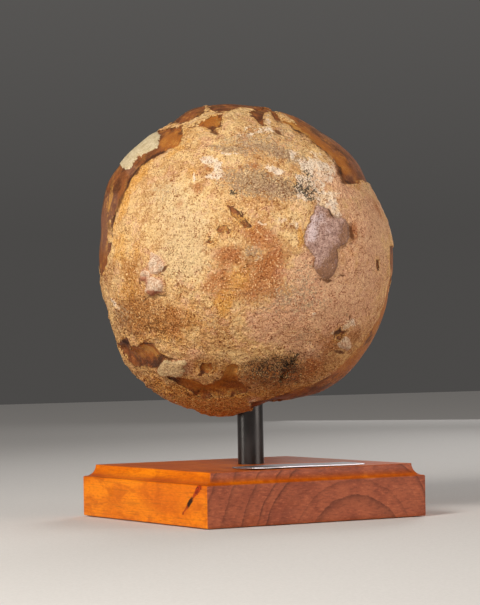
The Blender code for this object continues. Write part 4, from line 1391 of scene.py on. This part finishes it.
along = from_foot(run_y, run_z)
across = abs(from_foot(-run_z, run_y)) + wood.noise(2.2, detail=3.0) * 1.6
within = along.ramp(-0.5, 1.5) * along.ramp(streak_length - 1.0, streak_length + 0.5, 1.0, 0.0)
left_side = place_x.ramp((0.4 - BASE_SIDE / 2) * MM, (0.8 - BASE_SIDE / 2) * MM, 1.0, 0.0)
beside = across - wood.steps(along / streak_length, STREAK_SHARES) * STREAK_WIDTH
streak = beside.ramp(0.2, 0.9, 1.0, 0.0) * within * left_side
from_heart = abs(along - STREAK_DARKEST * streak_length)
gum = from_heart.ramp(2.0, 5.5, 1.0, 0.0) * across.ramp(1.9, 2.6, 1.0, 0.0) * left_side
gum_edge = wood.blend(wood.noise(1.2).ramp(0.40, 0.56), CHERRY["gum_edge_dark"],
                      CHERRY["gum_edge"])
grain_paint = wood.coats(grain_paint, (streak * 0.95, gum_edge), (gum * 0.97, CHERRY["gum"]))

wood_rough = fibre.ramp(0.2, 0.8, 0.30, 0.42) + end_grain * 0.08
wood_height = fibre * 0.05 - vessels.ramp(0.05, 0.16, 0.05, 0.0)
base.data.materials.append(wood.surface(
    Base_Color=grain_paint, Roughness=wood_rough, Specular_IOR_Level=0.14,
    Normal=wood.relief(wood_height, 1.0)))
print("wood finish nodes:", len(wood.tree.nodes))

# %% [markdown]
# ## The rod
#
# A plain turned bar, painted satin black. Its ends are hidden in the wood and the bone. A
# profile of radius and height is spun round the axis; the paint has slight ripples and a
# little dust all over, which is what keeps black from looking like a hole.

# %% Rod
rod_low, rod_high = (np.array(corner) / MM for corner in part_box("support_rod"))
ROD_RADIUS = (rod_high[0] - rod_low[0]) / 2
ROD_SIDES = 96
ROD_CHAMFER = 0.5


def spun(profile, sides):
    """A closed turned piece: (r cos t, r sin t, z) for each (r, z) of the profile."""
    radii, heights = np.array(profile).T
    turn = np.linspace(0.0, 2 * math.pi, sides, endpoint=False)
    rings = np.stack([np.outer(radii, np.cos(turn)), np.outer(radii, np.sin(turn)),
                      np.repeat(heights[:, None], sides, axis=1)], axis=-1)
    return closed_rings(rings, heights[0], heights[-1])


rod_profile = [(ROD_RADIUS - ROD_CHAMFER, rod_low[2]), (ROD_RADIUS, rod_low[2] + ROD_CHAMFER)]
rod_profile += [(ROD_RADIUS, height)
                for height in np.linspace(rod_low[2] + 4, rod_high[2] - 4, 24)]
rod_profile += [(ROD_RADIUS, rod_high[2] - ROD_CHAMFER), (ROD_RADIUS - ROD_CHAMFER, rod_high[2])]
points, faces = spun(rod_profile, ROD_SIDES)
rod = mesh_object("black_rod", points, faces, smooth_angle=30.0)
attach(rod, "root")
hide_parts("support_rod")

black = Finish("satin black paint")
ripple = black.noise(3.0, place=black.stretch((1.0, 1.0, 0.25)))
dust = black.noise(0.7, rough=0.7).ramp(0.62, 0.74, 0.0, 0.35)
black_paint = black.coats(
    black.blend(ripple.ramp(0.3, 0.7), paint(22, 20, 20), paint(34, 32, 33)),
    (dust, paint(96, 90, 84)))
rod.data.materials.append(black.surface(
    Base_Color=black_paint, Roughness=ripple.ramp(0.3, 0.7, 0.30, 0.40),
    Normal=black.relief(ripple, 0.03)))
print("rod radius", ROD_RADIUS.round(2), "mm")

# %% [markdown]
# ## The plate
#
# The plate is thin bare sheet, left blank. Real thin sheet is never flat: it bows between
# its ends and its corners lift, and that is what makes one end flash while the rest stays
# dark. A grid is laid out flat, its corners and edges are rounded by a formula, and then the
# whole sheet is bent by adding one small height to both its faces.

# %% Plate
plate_low, plate_high = (np.array(corner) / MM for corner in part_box("nameplate"))
PLATE_CORNER = 1.2
PLATE_THICKNESS = 0.7
PLATE_EASE = 0.16                       # rounding of the sheet's cut edge


def spaced(half, near_edge, cells):
    """Even places from -half to half, with a few close together near both ends."""
    middle = np.linspace(-half + near_edge[-1], half - near_edge[-1], cells)[1:-1]
    ends = half - np.array(near_edge)
    return np.concatenate([-ends, middle, ends[::-1]])


def sheet(width, depth, corner, thickness, ease):
    """Points and faces of a thin closed plate, level and centred.

    A corner square's point (a, b) moves to (a, b) max(a, b) / length(a, b), which rounds the
    corner. At a distance e < ease from the edge the face drops by
    ease - sqrt(ease^2 - (ease - e)^2).
    """
    near_edge = [0.0, 0.02, 0.07, ease, 0.6]
    x, y = np.meshgrid(spaced(width / 2, near_edge, 96), spaced(depth / 2, near_edge, 32),
                       indexing="ij")
    a = np.maximum(np.abs(x) - (width / 2 - corner), 0.0)
    b = np.maximum(np.abs(y) - (depth / 2 - corner), 0.0)
    shrink = np.where((a > 0) & (b > 0), np.maximum(a, b) / np.maximum(np.hypot(a, b), 1e-9), 1.0)
    from_edge = np.minimum(width / 2 - np.abs(x), depth / 2 - np.abs(y))
    drop = ease - np.sqrt(ease ** 2 - np.maximum(ease - from_edge, 0.0) ** 2)
    x, y = x - np.sign(x) * a * (1 - shrink), y - np.sign(y) * b * (1 - shrink)
    top = np.stack([x, y, thickness / 2 - drop], axis=-1)
    under = np.stack([x, y, drop - thickness / 2], axis=-1)
    nx, ny = x.shape
    i, j = np.meshgrid(np.arange(nx - 1), np.arange(ny - 1), indexing="ij")
    first = (i * ny + j).ravel()
    quads = np.stack([first, first + ny, first + ny + 1, first + 1], axis=1)
    rim = np.concatenate([np.arange(nx) * ny, (nx - 1) * ny + np.arange(1, ny),
                          np.arange(nx - 2, -1, -1) * ny + ny - 1, np.arange(ny - 2, 0, -1)])
    wall = np.stack([rim + nx * ny, np.roll(rim, -1) + nx * ny, np.roll(rim, -1), rim], axis=1)
    points = np.concatenate([top.reshape(-1, 3), under.reshape(-1, 3)])
    return points, np.concatenate([quads, quads[:, ::-1] + nx * ny, wall])


plate_size = (plate_high - plate_low)[:2]
points, faces = sheet(*plate_size, PLATE_CORNER, PLATE_THICKNESS, PLATE_EASE)
x, y = points[:, 0], points[:, 1]
# two slow waves along the sheet and one lifted corner
bend_up = 0.16 * np.cos(x / 13.0 + 0.7) + 0.10 * np.sin(y / 6.0 + x / 21.0)
bend_up += 0.30 * np.exp(-((x + 40) / 7.0) ** 2 - ((y + 12) / 6.0) ** 2)
points[:, 2] += bend_up - bend_up.min()
points += np.append((plate_low + plate_high)[:2] / 2, plate_low[2] + PLATE_THICKNESS / 2)
plate = mesh_object("metal_plate", points, faces, smooth_angle=60.0)
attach(plate, "root")
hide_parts("nameplate")
print("plate", plate_size.round(1), "mm, top at", points[:, 2].max().round(2),
      "of", plate_high[2].round(2))

# %% [markdown]
# ## The finish of the plate
#
# Brushed sheet has fine scratches along its length. They are noise drawn out along X and used
# as a very shallow bump and as a slight change of roughness. A dark patch towards the left
# end, a painted reflection, and a bluish tint keep it from looking like a mirror.

# %% Brushed metal
THUMB_PLACE = -26.0                     # X of the middle of the painted dark reflection
THUMB_REACH = 14.0
metal = Finish("brushed sheet metal")
brushing = metal.noise(0.35, rough=0.6, place=metal.stretch((0.02, 1.0, 1.0)))
smears = metal.noise(9.0, detail=3.0)
from_thumb = abs(metal.parts(metal.place)[0] - THUMB_PLACE * MM)
# painted reflection: a dark patch towards the left end of the sheet
thumb = from_thumb.ramp(0.0, THUMB_REACH * MM, 0.9, 0.0) + (metal.noise(5.0, detail=3.0) - 0.5)
silver = metal.coats(
    metal.blend(smears.ramp(0.35, 0.7), paint(206, 210, 222), paint(232, 234, 240)),
    (brushing.ramp(0.3, 0.5, 0.25, 0.0), paint(120, 122, 130)),
    (thumb.ramp(0.35, 0.75, 0.0, 0.55), paint(122, 118, 122)))
metal_rough = smears.ramp(0.3, 0.8, 0.34, 0.46) + brushing.ramp(0.3, 0.7, 0.0, 0.08)
plate.data.materials.append(metal.surface(
    Base_Color=silver, Metallic=1.0, Roughness=metal_rough,
    Normal=metal.relief(brushing, 0.006)))
print("plate finish nodes:", len(metal.tree.nodes))

# %% [markdown]
# ## Floor, backdrop and light
#
# A pale sheet lies under the stand and runs far back, to a plain grey studio behind. A soft
# lamp on the left and above gives the ball its form, a broader one from the right opens the
# shade, and a small one lights the base's left side. Two from behind draw the rim and the
# top of the base; the stronger of them isn't mirrored, or the varnish would turn white. The
# surroundings fill what is left. The lamps are placed by the face's own right, up and out,
# so left here means left of the ball as it is seen.

# %% Floor
FLOOR_REACH = 3.0                       # metres each way
FLOOR_LEVEL = -0.0005                   # a hair below the base, so that the two don't flicker
floor_side = np.linspace(-FLOOR_REACH, FLOOR_REACH, 3)
floor_x, floor_y = np.meshgrid(floor_side, floor_side, indexing="ij")
floor_points = np.column_stack([floor_x.ravel(), floor_y.ravel(), np.full(9, FLOOR_LEVEL)]) / MM
floor_faces = [(k, k + 3, k + 4, k + 1) for k in (0, 1, 3, 4)]
floor = mesh_object("floor", floor_points, floor_faces)
paper = Finish("pale paper")
fibres = paper.noise(1.5).ramp(0.3, 0.7)
paper_paint = paper.blend(fibres, paint(198, 196, 194), paint(204, 202, 200))
floor.data.materials.append(paper.surface(Base_Color=paper_paint, Roughness=0.9))
print("floor laid")

# %% Light
LOOK_AT = np.array([-1.3, -0.7, 130.0]) * MM
STAND = np.array([-40.0, 0.0, -30.0]) * MM
# the surroundings: a dim grey at the horizon, brighter overhead
SKY = {"From Min": 0.05, "From Max": 0.9, "To Min": 0.07, "To Max": 0.28}
SKY_TINT = (1.0, 0.96, 0.92, 1.0)
WARM, BLUSH, PALE = (1.0, 0.95, 0.88), (1.0, 0.88, 0.80), (1.0, 0.98, 0.96)


def soft_lamp(name, toward, distance, size, watts, tint, target=LOOK_AT, spread=180.0,
              shines=True):
    """A square area lamp in a direction (right, up, out of the face), aimed at a target.

    spread is the angle in degrees of its beam. Varnish and metal mirror it if it shines.
    """
    toward = np.array(toward) / np.linalg.norm(toward)
    out = toward @ BALL_AXES
    lamp = bpy.data.objects.new(name, bpy.data.lights.new(name, "AREA"))
    lamp.data.size = size
    lamp.data.energy = watts
    lamp.data.color = tint
    lamp.data.spread = math.radians(spread)
    lamp.visible_glossy = shines
    bpy.context.scene.collection.objects.link(lamp)
    right = np.cross(-out, (0.0, 0.0, 1.0))
    right /= np.linalg.norm(right)
    aim(lamp, target + out * distance, right, np.cross(right, -out), -out)


soft_lamp("key", (-0.55, 0.58, 0.78), 1.3, 0.40, 16.7, WARM)
soft_lamp("stand_lamp", (-1.0, 0.05, 0.25), 0.9, 0.3, 0.25, (1.0, 0.93, 0.84), STAND, 60.0)
soft_lamp("right_fill", (1.0, 0.18, 0.46), 1.6, 0.8, 12.4, BLUSH)
soft_lamp("back_fill", (0.3, 0.08, -1.0), 1.8, 1.0, 1.7, PALE)
soft_lamp("back_wash", (0.3, 0.20, -1.0), 1.8, 0.6, 2.4, PALE, spread=60.0, shines=False)
world = bpy.data.worlds.new("studio")
world.use_nodes = True
nodes, links = world.node_tree.nodes, world.node_tree.links
height_of_sky = nodes.new("ShaderNodeSeparateXYZ")
links.new(nodes.new("ShaderNodeTexCoord").outputs["Generated"], height_of_sky.inputs[0])
dome = nodes.new("ShaderNodeMapRange")
links.new(height_of_sky.outputs["Z"], dome.inputs["Value"])
for name, value in SKY.items():
    dome.inputs[name].default_value = value
nodes["Background"].inputs["Color"].default_value = SKY_TINT
links.new(dome.outputs[0], nodes["Background"].inputs["Strength"])
bpy.context.scene.world = world
bpy.context.scene.view_settings.view_transform = "Standard"
